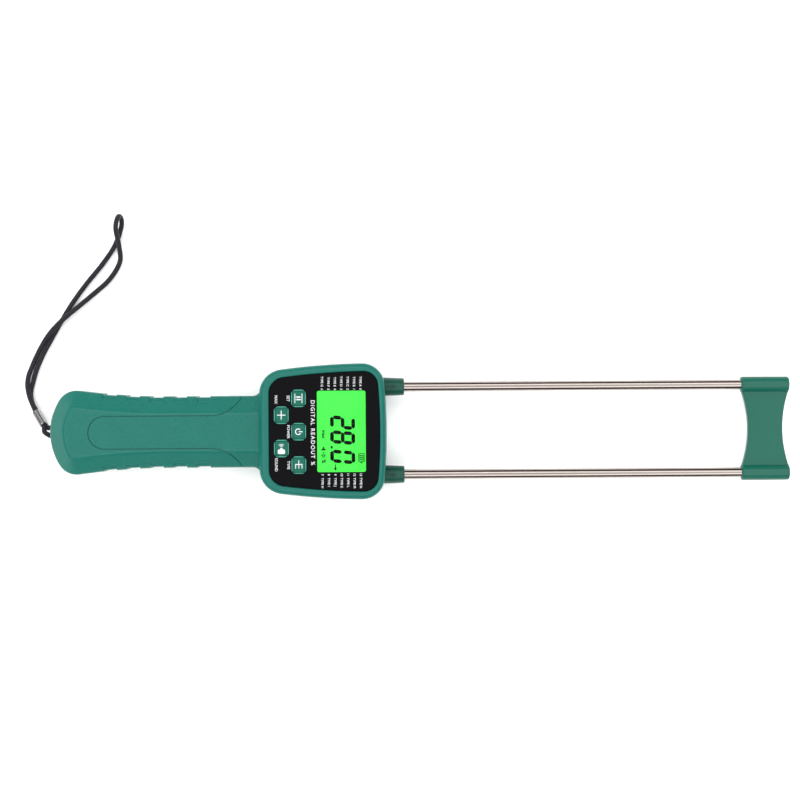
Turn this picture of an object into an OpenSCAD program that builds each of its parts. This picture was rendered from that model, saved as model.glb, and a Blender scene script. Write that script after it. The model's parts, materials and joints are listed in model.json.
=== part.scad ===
// Hand-held grain moisture meter: a handle and instrument head in two shells,
// two tubular probe rods joined by a bridge at their tips, and a wrist strap.
// Lies on its back: +X runs from the handle's tail to the rod tips, +Z faces the display side.

/* [Overall] */
// Length of the handle, from its tail to the back edge of the head
handle_l = 126; // [115:1:140]
// Length of the instrument head along X
head_l = 75; // [72:1:90]
// Reach of the probe, from the head's front edge to the end of the bridge
probe_l = 241; // [160:1:320]
// Width of the head at its widest
head_w = 80.4; // [79:0.2:100]
// Height of the head's rim above the back
head_h = 35; // [34:0.5:42]

/* [Handle] */
// Width of the grip at its waist
grip_w = 42.7; // [40:0.1:52]
// Width of the tail at its widest
tail_w = 50.4; // [48:0.1:62]
// Height of the handle's top face above the back
grip_h = 31; // [29:0.5:38]
// Radius of the rounded tail end
tail_end_r = 37; // [32:1:60]
// Radius of the two tail corners
tail_corner_r = 12; // [9:0.5:15]
// Width of the sloping facet along the top edge, seen from above
top_bevel_w = 10; // [6:0.5:12]
// Drop of that facet
top_bevel_h = 9; // [6:0.5:11]
// Width and height of the facet along the back edge
back_bevel = 8; // [4:0.5:9]
// Radius of the fillet between the handle and the head
neck_r = 5; // [3:0.5:8]
// Number of finger notches on each side
notch_n = 5; // [3:1:6]
// Distance from one finger notch to the next
notch_pitch = 14; // [12:0.5:18]
// Length of a finger notch
notch_l = 7.8; // [5:0.1:9]
// Depth of a finger notch
notch_depth = 0.7; // [0.4:0.1:1.2]
// Half width of the decorative groove's loop on the grip
groove_half_w = 9.7; // [7:0.1:10]
// Width of the decorative groove
groove_w = 0.6; // [0.4:0.1:1]
// Depth of the decorative groove
groove_depth = 0.8; // [0.3:0.1:1.2]

/* [Head] */
// Radius of the front corners
front_corner_r = 13.2; // [10:0.2:16]
// Half distance between the centres of the front corners
front_corner_y = 27; // [24:0.5:30]
// Radius of the back corners
rear_corner_r = 14.4; // [11:0.2:17]
// Half distance between the centres of the back corners
rear_corner_y = 22.5; // [20:0.5:25]
// Radius of the slightly bowed sides
side_bow_r = 432; // [300:1:900]
// Radius of the slightly bowed front edge
front_bow_r = 337; // [250:1:900]
// Radius of the rounded rim edge
rim_r = 3.2; // [1:0.1:4]
// Width of the rim round the front panel
rim_w = 4.8; // [4:0.1:6]
// Depth of the panel below the rim
panel_drop = 1.6; // [0.6:0.1:2.5]
// Wall thickness of both shells
wall = 2.2; // [1.6:0.1:2.8]
// Thickness of the back wall
floor_t = 2.4; // [2:0.1:3]
// Height of the parting plane, which is also the rods' axis height
part_z = 17; // [16:0.5:18]

/* [Display and keys] */
// Display window size along X
window_x = 28.7; // [20:0.1:30]
// Display window size along Y
window_y = 48; // [40:0.5:50]
// Key cap size along X
key_x = 8.7; // [6:0.1:9]
// Key cap size along Y
key_y = 10.3; // [8:0.1:11]
// Corner radius of a key cap
key_r = 2.7; // [1:0.1:3]
// Height of a key cap above the panel
key_rise = 1.2; // [0.6:0.1:2]
// Travel of a key
key_travel = 0.6; // [0.3:0.1:0.8]
// Spacing of the keys along Y within a row
key_pitch = 19.65; // [17:0.05:20]
// Spacing of the two key rows along X, which wide keys push further apart
key_row_pitch = 10.2; // [9:0.1:13]
// Gap round a key cap in its opening
key_gap = 0.3; // [0.2:0.05:0.5]

/* [Probe] */
// Distance between the rods' axes
rod_spacing = 52.6; // [48:0.2:58]
// Outer diameter of a rod
rod_d = 6; // [5:0.1:7]
// Wall thickness of a rod
rod_wall = 1; // [0.6:0.1:1.5]
// Outer diameter of a rod's sleeve
sleeve_d = 11; // [9:0.1:12]
// Length of sleeve that stands out of the head
sleeve_out = 10.6; // [6:0.1:16]
// Length of the bridge along X
bridge_l = 28.6; // [18:0.2:40]
// Diameter of the bridge's two tubes
bridge_tube_d = 9.5; // [8:0.1:12]
// Thickness of the bridge's web
bridge_web_t = 5; // [3:0.1:7]
// Radius of the hollow in each end of the web
bridge_hollow_r = 70; // [60:1:150]

/* [Battery bay] */
// Diameter of a cell
cell_d = 10.5; // [10.5:0.1:14.5]
// Length of a cell with its nub
cell_l = 44.5; // [40:0.5:50]
// Clearance between moving parts that don't bear on each other
part_gap = 0.3; // [0.2:0.05:0.5]
// Diameter of the door's hinge pips
pip_d = 1.6; // [1.4:0.1:1.8]
// Radial clearance of the door's hinge pips
pip_gap = 0.05; // [0.03:0.01:0.1]

/* [Wrist strap] */
// Diameter of the cord
cord_d = 3; // [2:0.1:3]
// Diameter of the pin that holds the strap in the tail
strap_pin_d = 4.4; // [3:0.1:4.6]

/* [Hidden] */

green = [0.21, 0.51, 0.46];
dark_green = [0.12, 0.36, 0.30];
steel = [0.78, 0.78, 0.78];
$fn = 48;

// Places along X
total_l = handle_l + head_l + probe_l;
tail_x = -total_l / 2;
head_x0 = tail_x + handle_l;
head_x1 = head_x0 + head_l;
end_x = head_x1 + probe_l;

// Levels
deck_z1 = head_h - panel_drop - 1;    // top of the deck, under the fascia
deck_t = 2;
deck_z0 = deck_z1 - deck_t;
fascia_z1 = head_h - panel_drop;
pcb_t = 1.6;
pcb_z1 = deck_z0 - 6.4;
pcb_z0 = pcb_z1 - pcb_t;

// The battery bay and its door, whose width the grip's flat back has to hold
rail_t = 1.4;
bay_y = cell_d + 0.95;
door_y = bay_y + 0.7;
back_edge_in = 1.2;                 // how far the rounding of the back edge runs into the flat back

// --- Outlines, each a half from one end to a last point on the X axis ---

// Points of an arc from angle a0 to a1, without the first one
function arc(c, r, a0, a1, n) =
    [for (i = [1 : n]) let (a = a0 + (a1 - a0) * i / n) c + r * [cos(a), sin(a)]];

// Centre of a circle of radius rs that holds circles (c1, r1) and (c2, r2) tangent inside it;
// it lies on the side of the line from c1 to c2 that side = 1 or -1 chooses
function holding_centre(c1, r1, c2, r2, rs, side) =
    let (d = norm(c2 - c1), u = (c2 - c1) / d, d1 = rs - r1, d2 = rs - r2,
        a = (d1 * d1 - d2 * d2 + d * d) / (2 * d), h = sqrt(d1 * d1 - a * a))
    c1 + a * u + side * h * [-u.y, u.x];

function angle_of(v) = atan2(v.y, v.x);

// The head's lower half, counterclockwise from the back edge to the middle of the front edge
front_bow_c = [head_x1 - front_bow_r, 0];
front_c = [front_bow_c.x + sqrt(pow(front_bow_r - front_corner_r, 2) - pow(front_corner_y, 2)),
    -front_corner_y];
side_drop = head_w / 2 - (front_corner_y + front_corner_r);
rear_c = [head_x0 + rear_corner_r, -rear_corner_y - side_drop];
front_cc = [front_c.x, front_c.y - side_drop];
side_c = holding_centre(front_cc, front_corner_r, rear_c, rear_corner_r, side_bow_r, -1);
side_a0 = angle_of(rear_c - side_c);
side_a1 = angle_of(front_cc - side_c);
corner_a1 = angle_of([front_c.x, front_cc.y] - front_bow_c);
function head_half(in) = concat(
    [[head_x0 + in, rear_c.y]],
    arc(rear_c, rear_corner_r - in, -180, side_a0, 6),
    arc(side_c, side_bow_r - in, side_a0, side_a1, 5),
    arc(front_cc, front_corner_r - in, side_a1, corner_a1, 6),
    arc(front_bow_c, front_bow_r - in, corner_a1, 0, 4));

// The handle's upper half, counterclockwise from inside the head to the tip of the tail
grip_y = max(grip_w / 2, door_y + back_bevel + back_edge_in);
tail_y = max(tail_w / 2, grip_y + 3.85);
tail_end_c = [tail_x + tail_end_r, 0];
tail_a = asin((tail_y - tail_corner_r) / (tail_end_r - tail_corner_r));
tail_c = tail_end_c + (tail_end_r - tail_corner_r) * [-cos(tail_a), sin(tail_a)];
flare_a = 82;      // direction in which the flare of the grip meets the tail corner
flare_end = tail_c + tail_corner_r * [cos(flare_a), sin(flare_a)];
flare_h = flare_end.y - grip_y;
flare_l = 2 * flare_h * tan(flare_a);
neck_c = [head_x0 - neck_r, grip_y + neck_r];
// A point of the parabolic flare, moved inward by in
function flare(t, in) =
    [flare_end.x + flare_l * (1 - t), grip_y + flare_h * t * t]
    - in * [2 * flare_h * t, flare_l] / norm([2 * flare_h * t, flare_l]);
function handle_half(in) = concat(
    [[head_x0 + 12, neck_c.y], [head_x0 + in, neck_c.y]],
    arc(neck_c, neck_r + in, 0, -90, 5),
    [for (i = [0 : 8]) flare(i / 8, in)],
    arc(tail_c, max(tail_corner_r - in, 0.4), flare_a, 180 - tail_a, 6),
    arc(tail_end_c, tail_end_r - in, 180 - tail_a, 180, 4));

// A closed ring: the half outline and its mirror image
function ring(half) =
    concat(half, [for (i = [len(half) - 2 : -1 : 0]) [half[i].x, -half[i].y]]);

// Solid through halves of the same number of points, at rising heights
module loft(halves, heights) {
    n = 2 * len(halves[0]) - 1;
    last = n - 1;
    k = len(halves[0]) - 1;
    m = len(halves) - 1;
    points = [for (j = [0 : m]) for (p = ring(halves[j])) [p.x, p.y, heights[j]]];
    sides = [for (j = [0 : m - 1]) for (i = [0 : last]) let (a = j * n + i, b = j * n + (i + 1) % n)
        each [[a, a + n, b + n], [a, b + n, b]]];
    lid = [for (i = [0 : k - 1]) each i == k - 1 ? [[i, last - i, k]]
        : [[i, last - i, last - i - 1], [i, last - i - 1, i + 1]]];
    top = [for (f = lid) [f[0] + m * n, f[1] + m * n, f[2] + m * n]];
    bottom = [for (f = lid) [f[2], f[1], f[0]]];
    polyhedron(points = points, faces = concat(sides, top, bottom));
}

// Stacks of [inset, height] that shape the shells
top_z = grip_h;
facet_z = grip_h - top_bevel_h;
handle_top = [[0, part_z], [0, facet_z - 1.2], [0.4, facet_z], [1.2, facet_z + 1.1],
    [top_bevel_w - 1.3, top_z - 1.2], [top_bevel_w - 0.1, top_z - 0.4], [top_bevel_w + 1.6, top_z]];
handle_back = [[back_bevel + back_edge_in, 0], [back_bevel - 0.6, 0.4], [back_bevel - 1.2, 1.1],
    [1.1, back_bevel - 1.1], [0.4, back_bevel - 0.1], [0, back_bevel + 1.2], [0, part_z]];
head_top = [[0, part_z], for (a = [0, 30, 60, 90])
    [rim_r * (1 - cos(a)), head_h - rim_r * (1 - sin(a))]];
head_bevel = 5;
head_back = [for (a = [90, 60, 30, 0]) [head_bevel * (1 - cos(a)), head_bevel * (1 - sin(a))],
    [0, part_z]];
facet_in = wall * 0.414;
handle_top_inside = [[wall, part_z - 1], [wall, facet_z - facet_in],
    [top_bevel_w + facet_in, top_z - wall]];
handle_back_inside = [[back_bevel + facet_in, floor_t], [wall, back_bevel + facet_in],
    [wall, part_z + 1]];
head_top_inside = [[wall, part_z - 1], [wall, deck_z0]];
head_back_inside = [[head_bevel + facet_in, floor_t], [wall, head_bevel + facet_in],
    [wall, part_z + 1]];

module handle_loft(stack) loft([for (s = stack) handle_half(s[0])], [for (s = stack) s[1]]);
module head_loft(stack) loft([for (s = stack) head_half(s[0])], [for (s = stack) s[1]]);

// --- Small shapes ---

// Cylinder along +X from x0 to x1
module rod_x(x0, x1, y, z, r) translate([x0, y, z]) rotate([0, 90, 0]) cylinder(h = x1 - x0, r = r);

// Upright cylinder from z0 to z1
module post(x, y, z0, z1, r) translate([x, y, z0]) cylinder(h = z1 - z0, r = r);

// Block given by its two corners
module block(a, b) translate(a) cube(b - a);

// Outline of a rectangle centred on the origin, with rounded corners
function rounded(x, y, r) = let (cx = x / 2 - r, cy = y / 2 - r)
    [for (q = [0 : 3]) for (p = arc([q == 0 || q == 3 ? cx : -cx, q < 2 ? cy : -cy], r,
        q * 90 - 18, q * 90 + 90, 6)) p];
module plate(x, y, r, z0, z1) translate([0, 0, z0]) linear_extrude(z1 - z0) polygon(rounded(x, y, r));

// Tube of diameter d along a route of points, swept with a frame that doesn't twist
function unit(v) = v / norm(v);
function heading(p, i) = unit(p[min(i + 1, len(p) - 1)] - p[max(i - 1, 0)]);
function carried(p, i) = i == 0 ? unit(cross(heading(p, 0), [0.1, 0.2, 1]))
    : let (w = carried(p, i - 1), t = heading(p, i)) unit(w - (w * t) * t);
module tube(p, d, sides = 8) {
    n = len(p);
    frames = [for (i = 0, w = carried(p, 0); i < n; i = i + 1,
        t = heading(p, min(i, n - 1)), w = unit(w - (w * t) * t)) [heading(p, i), w]];
    points = [for (i = [0 : n - 1]) for (s = [0 : sides - 1])
        let (u = frames[i][1], v = cross(frames[i][0], u), a = 360 * s / sides)
        p[i] + d / 2 * (cos(a) * u + sin(a) * v)];
    walls = [for (i = [0 : n - 2]) for (s = [0 : sides - 1])
        let (a = i * sides + s, b = i * sides + (s + 1) % sides)
        each [[a, a + sides, b + sides], [a, b + sides, b]]];
    cap0 = [for (s = [0 : sides - 1]) s];
    cap1 = [for (s = [sides - 1 : -1 : 0]) (n - 1) * sides + s];
    polyhedron(points = points, faces = concat(walls, [cap0, cap1]));
}

// Smooth route through hand-set points, with k steps between each two
function smooth_at(a, b, c, d, t) = 0.5 * (2 * b + (c - a) * t
    + (2 * a - 5 * b + 4 * c - d) * t * t + (3 * b - a - 3 * c + d) * t * t * t);
function smooth(p, k) = let (m = len(p) - 1) concat(
    [for (i = [0 : m - 1]) for (s = [0 : k - 1])
        smooth_at(p[max(i - 1, 0)], p[i], p[i + 1], p[min(i + 2, m)], s / k)], [p[m]]);

// --- Places shared by several parts ---

rod_y = rod_spacing / 2;
rod_r = rod_d / 2;
rod_in = 20;                        // length of rod inside the head
rod_x0 = head_x1 - rod_in;
rod_x1 = end_x - 2;
sleeve_r = sleeve_d / 2;
sleeve_fit = 0.1;
sleeve_in = 6.5;                    // length of sleeve inside the head
flange_t = 2;
flange_r = sleeve_r + 1;
seat_x = head_x1 - wall - 1.4;       // face that the sleeve's flange bears on

window_c = head_x1 - 26.6;          // middle of the display along X
key_row1_x = window_c - 25.1;
key_flange = 1;                     // how far the flange under the deck stands out
flange_corner_r = key_r + 0.6;
// Least spacing of the rows at which the corners of the staggered keys' flanges stay apart
corner_y = key_pitch / 2 - (key_y + 2 * key_flange - 2 * flange_corner_r);
corner_gap = 2 * flange_corner_r + part_gap;
corner_x = corner_y < corner_gap ? sqrt(pow(corner_gap, 2) - pow(max(corner_y, 0), 2)) : 0;
least_row_pitch = key_x + 2 * key_flange - 2 * flange_corner_r + corner_x;
key_row2_x = key_row1_x - max(key_row_pitch, least_row_pitch);
key_places = [[key_row1_x, key_pitch], [key_row1_x, 0], [key_row1_x, -key_pitch],
    [key_row2_x, key_pitch / 2], [key_row2_x, -key_pitch / 2]];
key_top = fascia_z1 + key_rise;
flange_z1 = deck_z0 - part_gap;
flange_z0 = flange_z1 - 1.3;
switch_gap = 0.2;                   // gap left under a fully pressed key

pcb_x0 = key_row2_x - 6.5;
pcb_x1 = head_x1 - 7.5;
pcb_y = window_y / 2 + 3;
pcb_rear_y = key_pitch + 4.8;
pcb_ear_x = head_x1 - 18;
pcb_ear_y = pcb_y + 3.2;
pcb_screw_places = [[pcb_x0 + 2.8, 20.5], [pcb_x0 + 2.8, -20.5],
    [pcb_ear_x, pcb_ear_y], [pcb_ear_x, -pcb_ear_y]];

strap_pin_x = tail_x + 10;
strap_z = 10.5;
strap_slot_y = 2.4;
case_screw_head_r = 2.6;
case_screw_shank_r = 1.25;
boss_r = 3.6;
case_screw_places = [[tail_x + 16, 9.5], [head_x0 + 14, 28.5], [head_x0 + 45, 31]];

// Battery bay, from bay_x0 to bay_x1; in a short handle it reaches on into the head
spring_l = 4;
contact_t = 0.4;
bay_l = 2 * cell_l + spring_l + 2 * contact_t + 0.2;
bay_tail_gap = 22.5;                // room for the strap pin and the tail's screws
bay_x1 = max(head_x0 - 9.5, tail_x + bay_tail_gap + bay_l);
bay_x0 = bay_x1 - bay_l;
cell_y = cell_d / 2 + 0.35;
door_t = 1.6;
pad_t = 1.2;
cell_z = door_t + pad_t + cell_d / 2 + 0.25;
pivot_x = bay_x1 - 1.9;
knuckle_r = 1.5;

speaker_x = head_x0 + 33;
speaker_r = 14;
speaker_h = 6.5;

// --- Casing ---

// Finger notches from height z0 to z1; the cut follows the wall and turns in over the bevel
module notches(z0, z1, bevel_z, turn) {
    first_x = tail_x + 32;
    for (i = [0 : notch_n - 1], side = [-1, 1]) {
        x = first_x + i * notch_pitch + notch_l / 2;
        t = max(0, min(1, (flare_end.x + flare_l - x) / flare_l));
        y = grip_y + flare_h * t * t;
        lean = atan2(2 * flare_h * t, flare_l);
        translate([x, side * y, 0]) rotate([0, 0, -side * lean]) rotate([90, 0, 90])
            translate([0, 0, -notch_l / 2]) linear_extrude(notch_l)
                polygon([[side * 3, z0], [-side * notch_depth, z0], [-side * notch_depth, bevel_z],
                    [-side * (notch_depth + 2.4), bevel_z + turn * 2.2], [side * 3, z1]]);
    }
}

// Closed-ended groove on the grip's top face, open towards the head where its arms turn out
module grip_groove() {
    arm_x = head_x0 - 29;
    end_c = [tail_x + 34.2, 0];
    arm_r = 19.8;
    function side(in) = concat(
        arc([arm_x, groove_half_w + arm_r], arm_r + in, -50, -90, 8),
        arc(end_c, groove_half_w - in, 90, 180, 12));
    a = side(-groove_w / 2);
    b = side(groove_w / 2);
    loop = function (h) concat(h, [for (i = [len(h) - 2 : -1 : 0]) [h[i].x, -h[i].y]]);
    outer = loop(a);
    inner = loop(b);
    translate([0, 0, grip_h - groove_depth]) linear_extrude(2)
        polygon(concat(outer, [for (i = [len(inner) - 1 : -1 : 0]) inner[i]]));
}

module panel_area(in, z0, z1) translate([0, 0, z0]) linear_extrude(z1 - z0)
    polygon([for (p = ring(head_half(rim_w + in))) p + [1, 0]]);

// Holes in the head's front wall for the sleeves, with a flat seat behind it for their flanges
module sleeve_seats() for (s = [-1, 1]) {
    rod_x(seat_x - 1, head_x1 + 1, s * rod_y, part_z, sleeve_r + sleeve_fit);
    rod_x(seat_x - flange_t - 0.4, seat_x, s * rod_y, part_z, flange_r + sleeve_fit);
}

module front_shell() color(green) difference() {
    union() {
        difference() {
            union() {
                handle_loft(handle_top);
                head_loft(head_top);
            }
            handle_loft(handle_top_inside);
            head_loft(head_top_inside);
        }
        for (p = case_screw_places, s = [-1, 1])
            post(p.x, s * p.y, part_z, (p.x < head_x0 ? grip_h - wall : deck_z0) + 0.5, boss_r - 0.4);
        for (p = pcb_screw_places) post(p.x, p.y, pcb_z1, deck_z0 + 0.5, 2.6);
        post(strap_pin_x, 0, part_z, grip_h - wall + 0.5, strap_pin_d / 2 + 1.4);
    }
    panel_area(-0.15, deck_z1, head_h + 1);
    translate([window_c, 0, 0]) {
        plate(window_x + 4.3, window_y + 3.3, 1.5, deck_z1 - 1.2, deck_z1 + 1);
        plate(window_x + 1, window_y + 1, 1, deck_z0 - 1, deck_z1);
    }
    for (p = key_places) translate([p.x, p.y, 0])
        plate(key_x + 2 * key_gap, key_y + 2 * key_gap, key_r + key_gap, deck_z0 - 1, deck_z1 + 1);
    sleeve_seats();
    for (p = case_screw_places, s = [-1, 1])
        post(p.x, s * p.y, part_z - 1, part_z + 9, case_screw_shank_r + 0.05);
    for (p = pcb_screw_places) post(p.x, p.y, pcb_z1 - 1, pcb_z1 + 5.2, 1.05);
    post(strap_pin_x, 0, part_z - 1, part_z + 5.2, strap_pin_d / 2 + 0.05);
    notches(part_z - 1, facet_z + 8, facet_z - 0.3, 1);
    grip_groove();
}

module rear_shell() color(green) difference() {
    union() {
        difference() {
            union() {
                handle_loft(handle_back);
                head_loft(head_back);
            }
            handle_loft(handle_back_inside);
            head_loft(head_back_inside);
        }
        for (p = case_screw_places, s = [-1, 1]) post(p.x, s * p.y, floor_t - 0.5, part_z, boss_r);
        post(strap_pin_x, 0, floor_t - 0.5, strap_z - cord_d / 2 - 0.7, strap_pin_d / 2 + 1.4);
        for (s = [-1, 1]) {
            block([bay_x0 - rail_t, s > 0 ? bay_y : -bay_y - rail_t, floor_t - 0.6],
                [bay_x1 + rail_t, s > 0 ? bay_y + rail_t : -bay_y, cell_z + 1]);
            block([pivot_x - 3, s > 0 ? door_y - 0.2 : -door_y - 2, floor_t - 0.8],
                [bay_x1 + rail_t, s > 0 ? door_y + 2 : -door_y + 0.2, floor_t + 2.2]);
            block([head_x1 - wall - 6.6, s * rod_y - 6, floor_t - 0.5],
                [head_x1 - wall - 5.2, s * rod_y + 6, part_z - 0.5]);
        }
        block([bay_x0 - rail_t, -bay_y - 0.5, floor_t - 0.6], [bay_x0, bay_y + 0.5, cell_z + 4]);
        block([bay_x1, -bay_y - 0.5, floor_t - 0.6], [bay_x1 + rail_t, bay_y + 0.5, cell_z + 4]);
        difference() {
            post(speaker_x, 0, floor_t - 0.5, floor_t + 3, speaker_r + 1.6);
            post(speaker_x, 0, floor_t - 0.6, floor_t + 4, speaker_r + 0.2);
        }
    }
    // Door opening, the seat of the door and the holes for its hinge pips
    block([bay_x0, -bay_y, -1], [bay_x1, bay_y, floor_t + 1.8]);
    block([bay_x0 - 1.6, -door_y, -1], [bay_x1, door_y, door_t + 0.1]);
    block([pivot_x - knuckle_r - 0.4, -door_y, -1], [bay_x1, door_y, 2 * knuckle_r + 0.4]);
    for (s = [-1, 1]) translate([pivot_x, s * door_y, knuckle_r]) rotate([-90 * s, 0, 0])
        translate([0, 0, -0.5]) cylinder(h = 1.6, r = pip_d / 2 + pip_gap);
    // Screw holes
    for (p = case_screw_places, s = [-1, 1]) {
        post(p.x, s * p.y, -1, 3.2, case_screw_head_r + 0.3);
        post(p.x, s * p.y, 3, part_z + 1, case_screw_shank_r + 0.35);
    }
    // Strap outlet and the socket of its pin
    block([tail_x - 1, -strap_slot_y, strap_z - 2.2], [tail_x + wall + 3, strap_slot_y, strap_z + 2.2]);
    for (s = [-1, 1]) rod_x(tail_x - 1, tail_x + wall + 3, s * strap_slot_y, strap_z, 2.2);
    post(strap_pin_x, 0, floor_t + 0.8, part_z, strap_pin_d / 2 + 0.05);
    // Sleeve seats in the front wall and sleeve saddles in the ribs
    sleeve_seats();
    for (s = [-1, 1]) {
        rod_x(head_x1 - wall - 7, head_x1 - wall - 5, s * rod_y, part_z, sleeve_r + sleeve_fit);
    }
    // Sound slots
    for (i = [-3 : 3]) block([speaker_x - 10 + abs(i), i * 2.8 - 0.6, -1],
        [speaker_x + 10 - abs(i), i * 2.8 + 0.6, floor_t + 1]);
    notches(part_z + 1, back_bevel - 9, back_bevel + 0.3, -1);
}

module battery_door() color(green) {
    difference() {
        union() {
            block([bay_x0 - 1.6 + part_gap, -door_y + part_gap, 0], [pivot_x, door_y - part_gap, door_t]);
            translate([pivot_x, 0, knuckle_r]) rotate([90, 0, 0])
                cylinder(h = 2 * (door_y - part_gap), r = knuckle_r, center = true);
            translate([pivot_x, 0, knuckle_r]) rotate([90, 0, 0])
                cylinder(h = 2 * (door_y + 0.8), r = pip_d / 2, center = true);
        }
        // Thumb recess
        for (i = [0 : 3]) block([bay_x0 + 5 + i * 2.4, -7 + i, -1], [bay_x0 + 6.2 + i * 2.4, 7 - i, 0.6]);
    }
}

module door_pad() color([0.15, 0.15, 0.16])
    block([bay_x0 + 6, -cell_d + 1, door_t], [pivot_x - 7, cell_d - 1, door_t + pad_t]);

// --- Display, keys and electronics ---

module fascia_panel() color([0.09, 0.1, 0.11]) difference() {
    panel_area(0, deck_z1, fascia_z1);
    translate([window_c, 0, 0]) plate(window_x, window_y, 1.2, deck_z1 - 1, fascia_z1 + 1);
    for (p = key_places) translate([p.x, p.y, 0])
        plate(key_x + 2 * key_gap, key_y + 2 * key_gap, key_r + key_gap, deck_z1 - 1, fascia_z1 + 1);
}

module display_window() color([0.8, 0.9, 0.85, 0.4]) translate([window_c, 0, 0]) {
    plate(window_x + 4, window_y + 3, 1.4, deck_z1 - 1.2, deck_z1);
    plate(window_x - 0.2, window_y - 0.2, 1.1, deck_z1 - 0.1, fascia_z1 - 0.1);
}

glass_z1 = deck_z0 - 0.1;
glass_z0 = glass_z1 - 2.2;
glass_x = window_x + 4;
glass_y = window_y + 2;
strip_x = 2.2;

module lcd_glass() color([0.31, 1, 0.34]) translate([window_c, 0, 0])
    block([-glass_x / 2, -glass_y / 2, glass_z0], [glass_x / 2, glass_y / 2, glass_z1]);

module lcd_backlight() color([0.9, 1, 0.9]) translate([window_c, 0, 0]) {
    block([-glass_x / 2 + strip_x + 1.2, -glass_y / 2, pcb_z1 + 0.1], [glass_x / 2, glass_y / 2, glass_z0]);
}

module lcd_holder() color([0.9, 0.9, 0.88]) translate([window_c, 0, 0]) difference() {
    block([-glass_x / 2 - 1.4, -glass_y / 2 - 1.4, pcb_z1], [glass_x / 2 + 1.4, glass_y / 2 + 1.4, glass_z1]);
    block([-glass_x / 2 - 0.1, -glass_y / 2 - 0.1, pcb_z1 - 1],
        [glass_x / 2 + 0.1, glass_y / 2 + 0.1, glass_z1 + 1]);
}

module zebra_strip() color([0.75, 0.55, 0.6]) translate([window_c - glass_x / 2 + 0.4, 0, 0])
    block([0, -glass_y / 2 + 1, pcb_z1], [strip_x, glass_y / 2 - 1, glass_z0]);

module main_pcb() color([0.05, 0.35, 0.18]) difference() {
    translate([0, 0, pcb_z0]) linear_extrude(pcb_t) union() {
        translate([pcb_x0, -pcb_rear_y]) square([12, 2 * pcb_rear_y]);
        translate([pcb_x0 + 11, -pcb_y]) square([pcb_x1 - pcb_x0 - 11, 2 * pcb_y]);
        translate([pcb_ear_x - 3.4, -pcb_ear_y - 3.2]) square([6.8, 2 * pcb_ear_y + 6.4]);
    }
    for (p = pcb_screw_places) post(p.x, p.y, pcb_z0 - 1, pcb_z1 + 1, 1.15);
}

module pcb_components() color([0.12, 0.12, 0.13]) {
    // Controller, voice chip, analogue front end, regulator, crystal and lead sockets
    for (c = [[-22, 0, 10, 10, 1.4], [-38, -12, 7.5, 10, 1.6], [-36, 12, 5, 4, 1.5],
        [-10, 14, 6.5, 3.5, 1.6], [-10, 4, 4, 8, 2.2], [-52, -6, 6, 8, 3], [-8, -13, 6, 8, 3]])
        translate([pcb_x1 + c[0], c[1], pcb_z0 - c[4]])
            block([-c[2] / 2, -c[3] / 2, 0], [c[2] / 2, c[3] / 2, c[4]]);
}

module key_switches() color([0.2, 0.2, 0.22]) for (p = key_places) translate([p.x, p.y, 0]) {
    block([-3, -3, pcb_z1], [3, 3, pcb_z1 + 2.6]);
    post(0, 0, pcb_z1 + 2.5, flange_z0 - key_travel - switch_gap, 1.7);
}

module key_at(i) color([0.13, 0.6, 0.42]) translate([key_places[i].x, key_places[i].y, 0]) {
    plate(key_x, key_y, key_r, flange_z1 - 0.1, key_top);
    plate(key_x + 2 * key_flange, key_y + 2 * key_flange, flange_corner_r, flange_z0, flange_z1);
}
module adjust_key() key_at(0);
module power_key() key_at(1);
module varieties_key() key_at(2);
module limit_key() key_at(3);
module voice_key() key_at(4);

module speaker() color([0.25, 0.25, 0.27]) translate([speaker_x, 0, floor_t]) rotate_extrude()
    polygon([[0, 0.6], [6, 0.6], [speaker_r - 2, 1], [speaker_r - 1.6, 0], [speaker_r, 0],
        [speaker_r, 2], [8.5, 4], [8.5, speaker_h], [0, speaker_h]]);

// Leads: heights run from 0 at their lower end to 1 at the board's underside
module speaker_leads() color([0.7, 0.1, 0.1]) for (s = [-1, 1]) let (z0 = floor_t + 3)
    tube([for (p = [[11.5, 3, 0], [11.5, 3, 0.1], [12, 4.5, 0.4], [11, 6.8, 0.75], [11, 6.8, 1]])
        [speaker_x + p[0], s * p[1], z0 + p[2] * (pcb_z0 - z0)]], 1.2, 6);

// --- Probe ---

module probe_rod(s) color(steel) difference() {
    rod_x(rod_x0, rod_x1, s * rod_y, part_z, rod_r);
    rod_x(rod_x0 - 1, rod_x1 + 1, s * rod_y, part_z, rod_r - rod_wall);
}
module probe_rod_left() probe_rod(1);
module probe_rod_right() probe_rod(-1);

module probe_sleeve(s) color(dark_green) translate([head_x1, s * rod_y, part_z]) rotate([0, 90, 0])
    let (seat = seat_x - head_x1) rotate_extrude() polygon(concat(
        [[rod_r, -sleeve_in], [sleeve_r, -sleeve_in], [sleeve_r, seat - flange_t],
            [flange_r, seat - flange_t], [flange_r, seat], [sleeve_r, seat], [sleeve_r, 0]],
        arc([sleeve_r - 1.2, sleeve_out - 1], 1, 0, 90, 6),
        [[rod_r, sleeve_out]]));
module probe_sleeve_left() probe_sleeve(1);
module probe_sleeve_right() probe_sleeve(-1);

stud_r = rod_r - rod_wall;
stud_out = 7;
lug_t = 0.8;
nut_t = 3.2;
module probe_stud(s) color([0.75, 0.62, 0.35]) {
    rod_x(rod_x0 - stud_out, rod_x0 + 9, s * rod_y, part_z, stud_r);
}
module probe_stud_left() probe_stud(1);
module probe_stud_right() probe_stud(-1);

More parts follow.
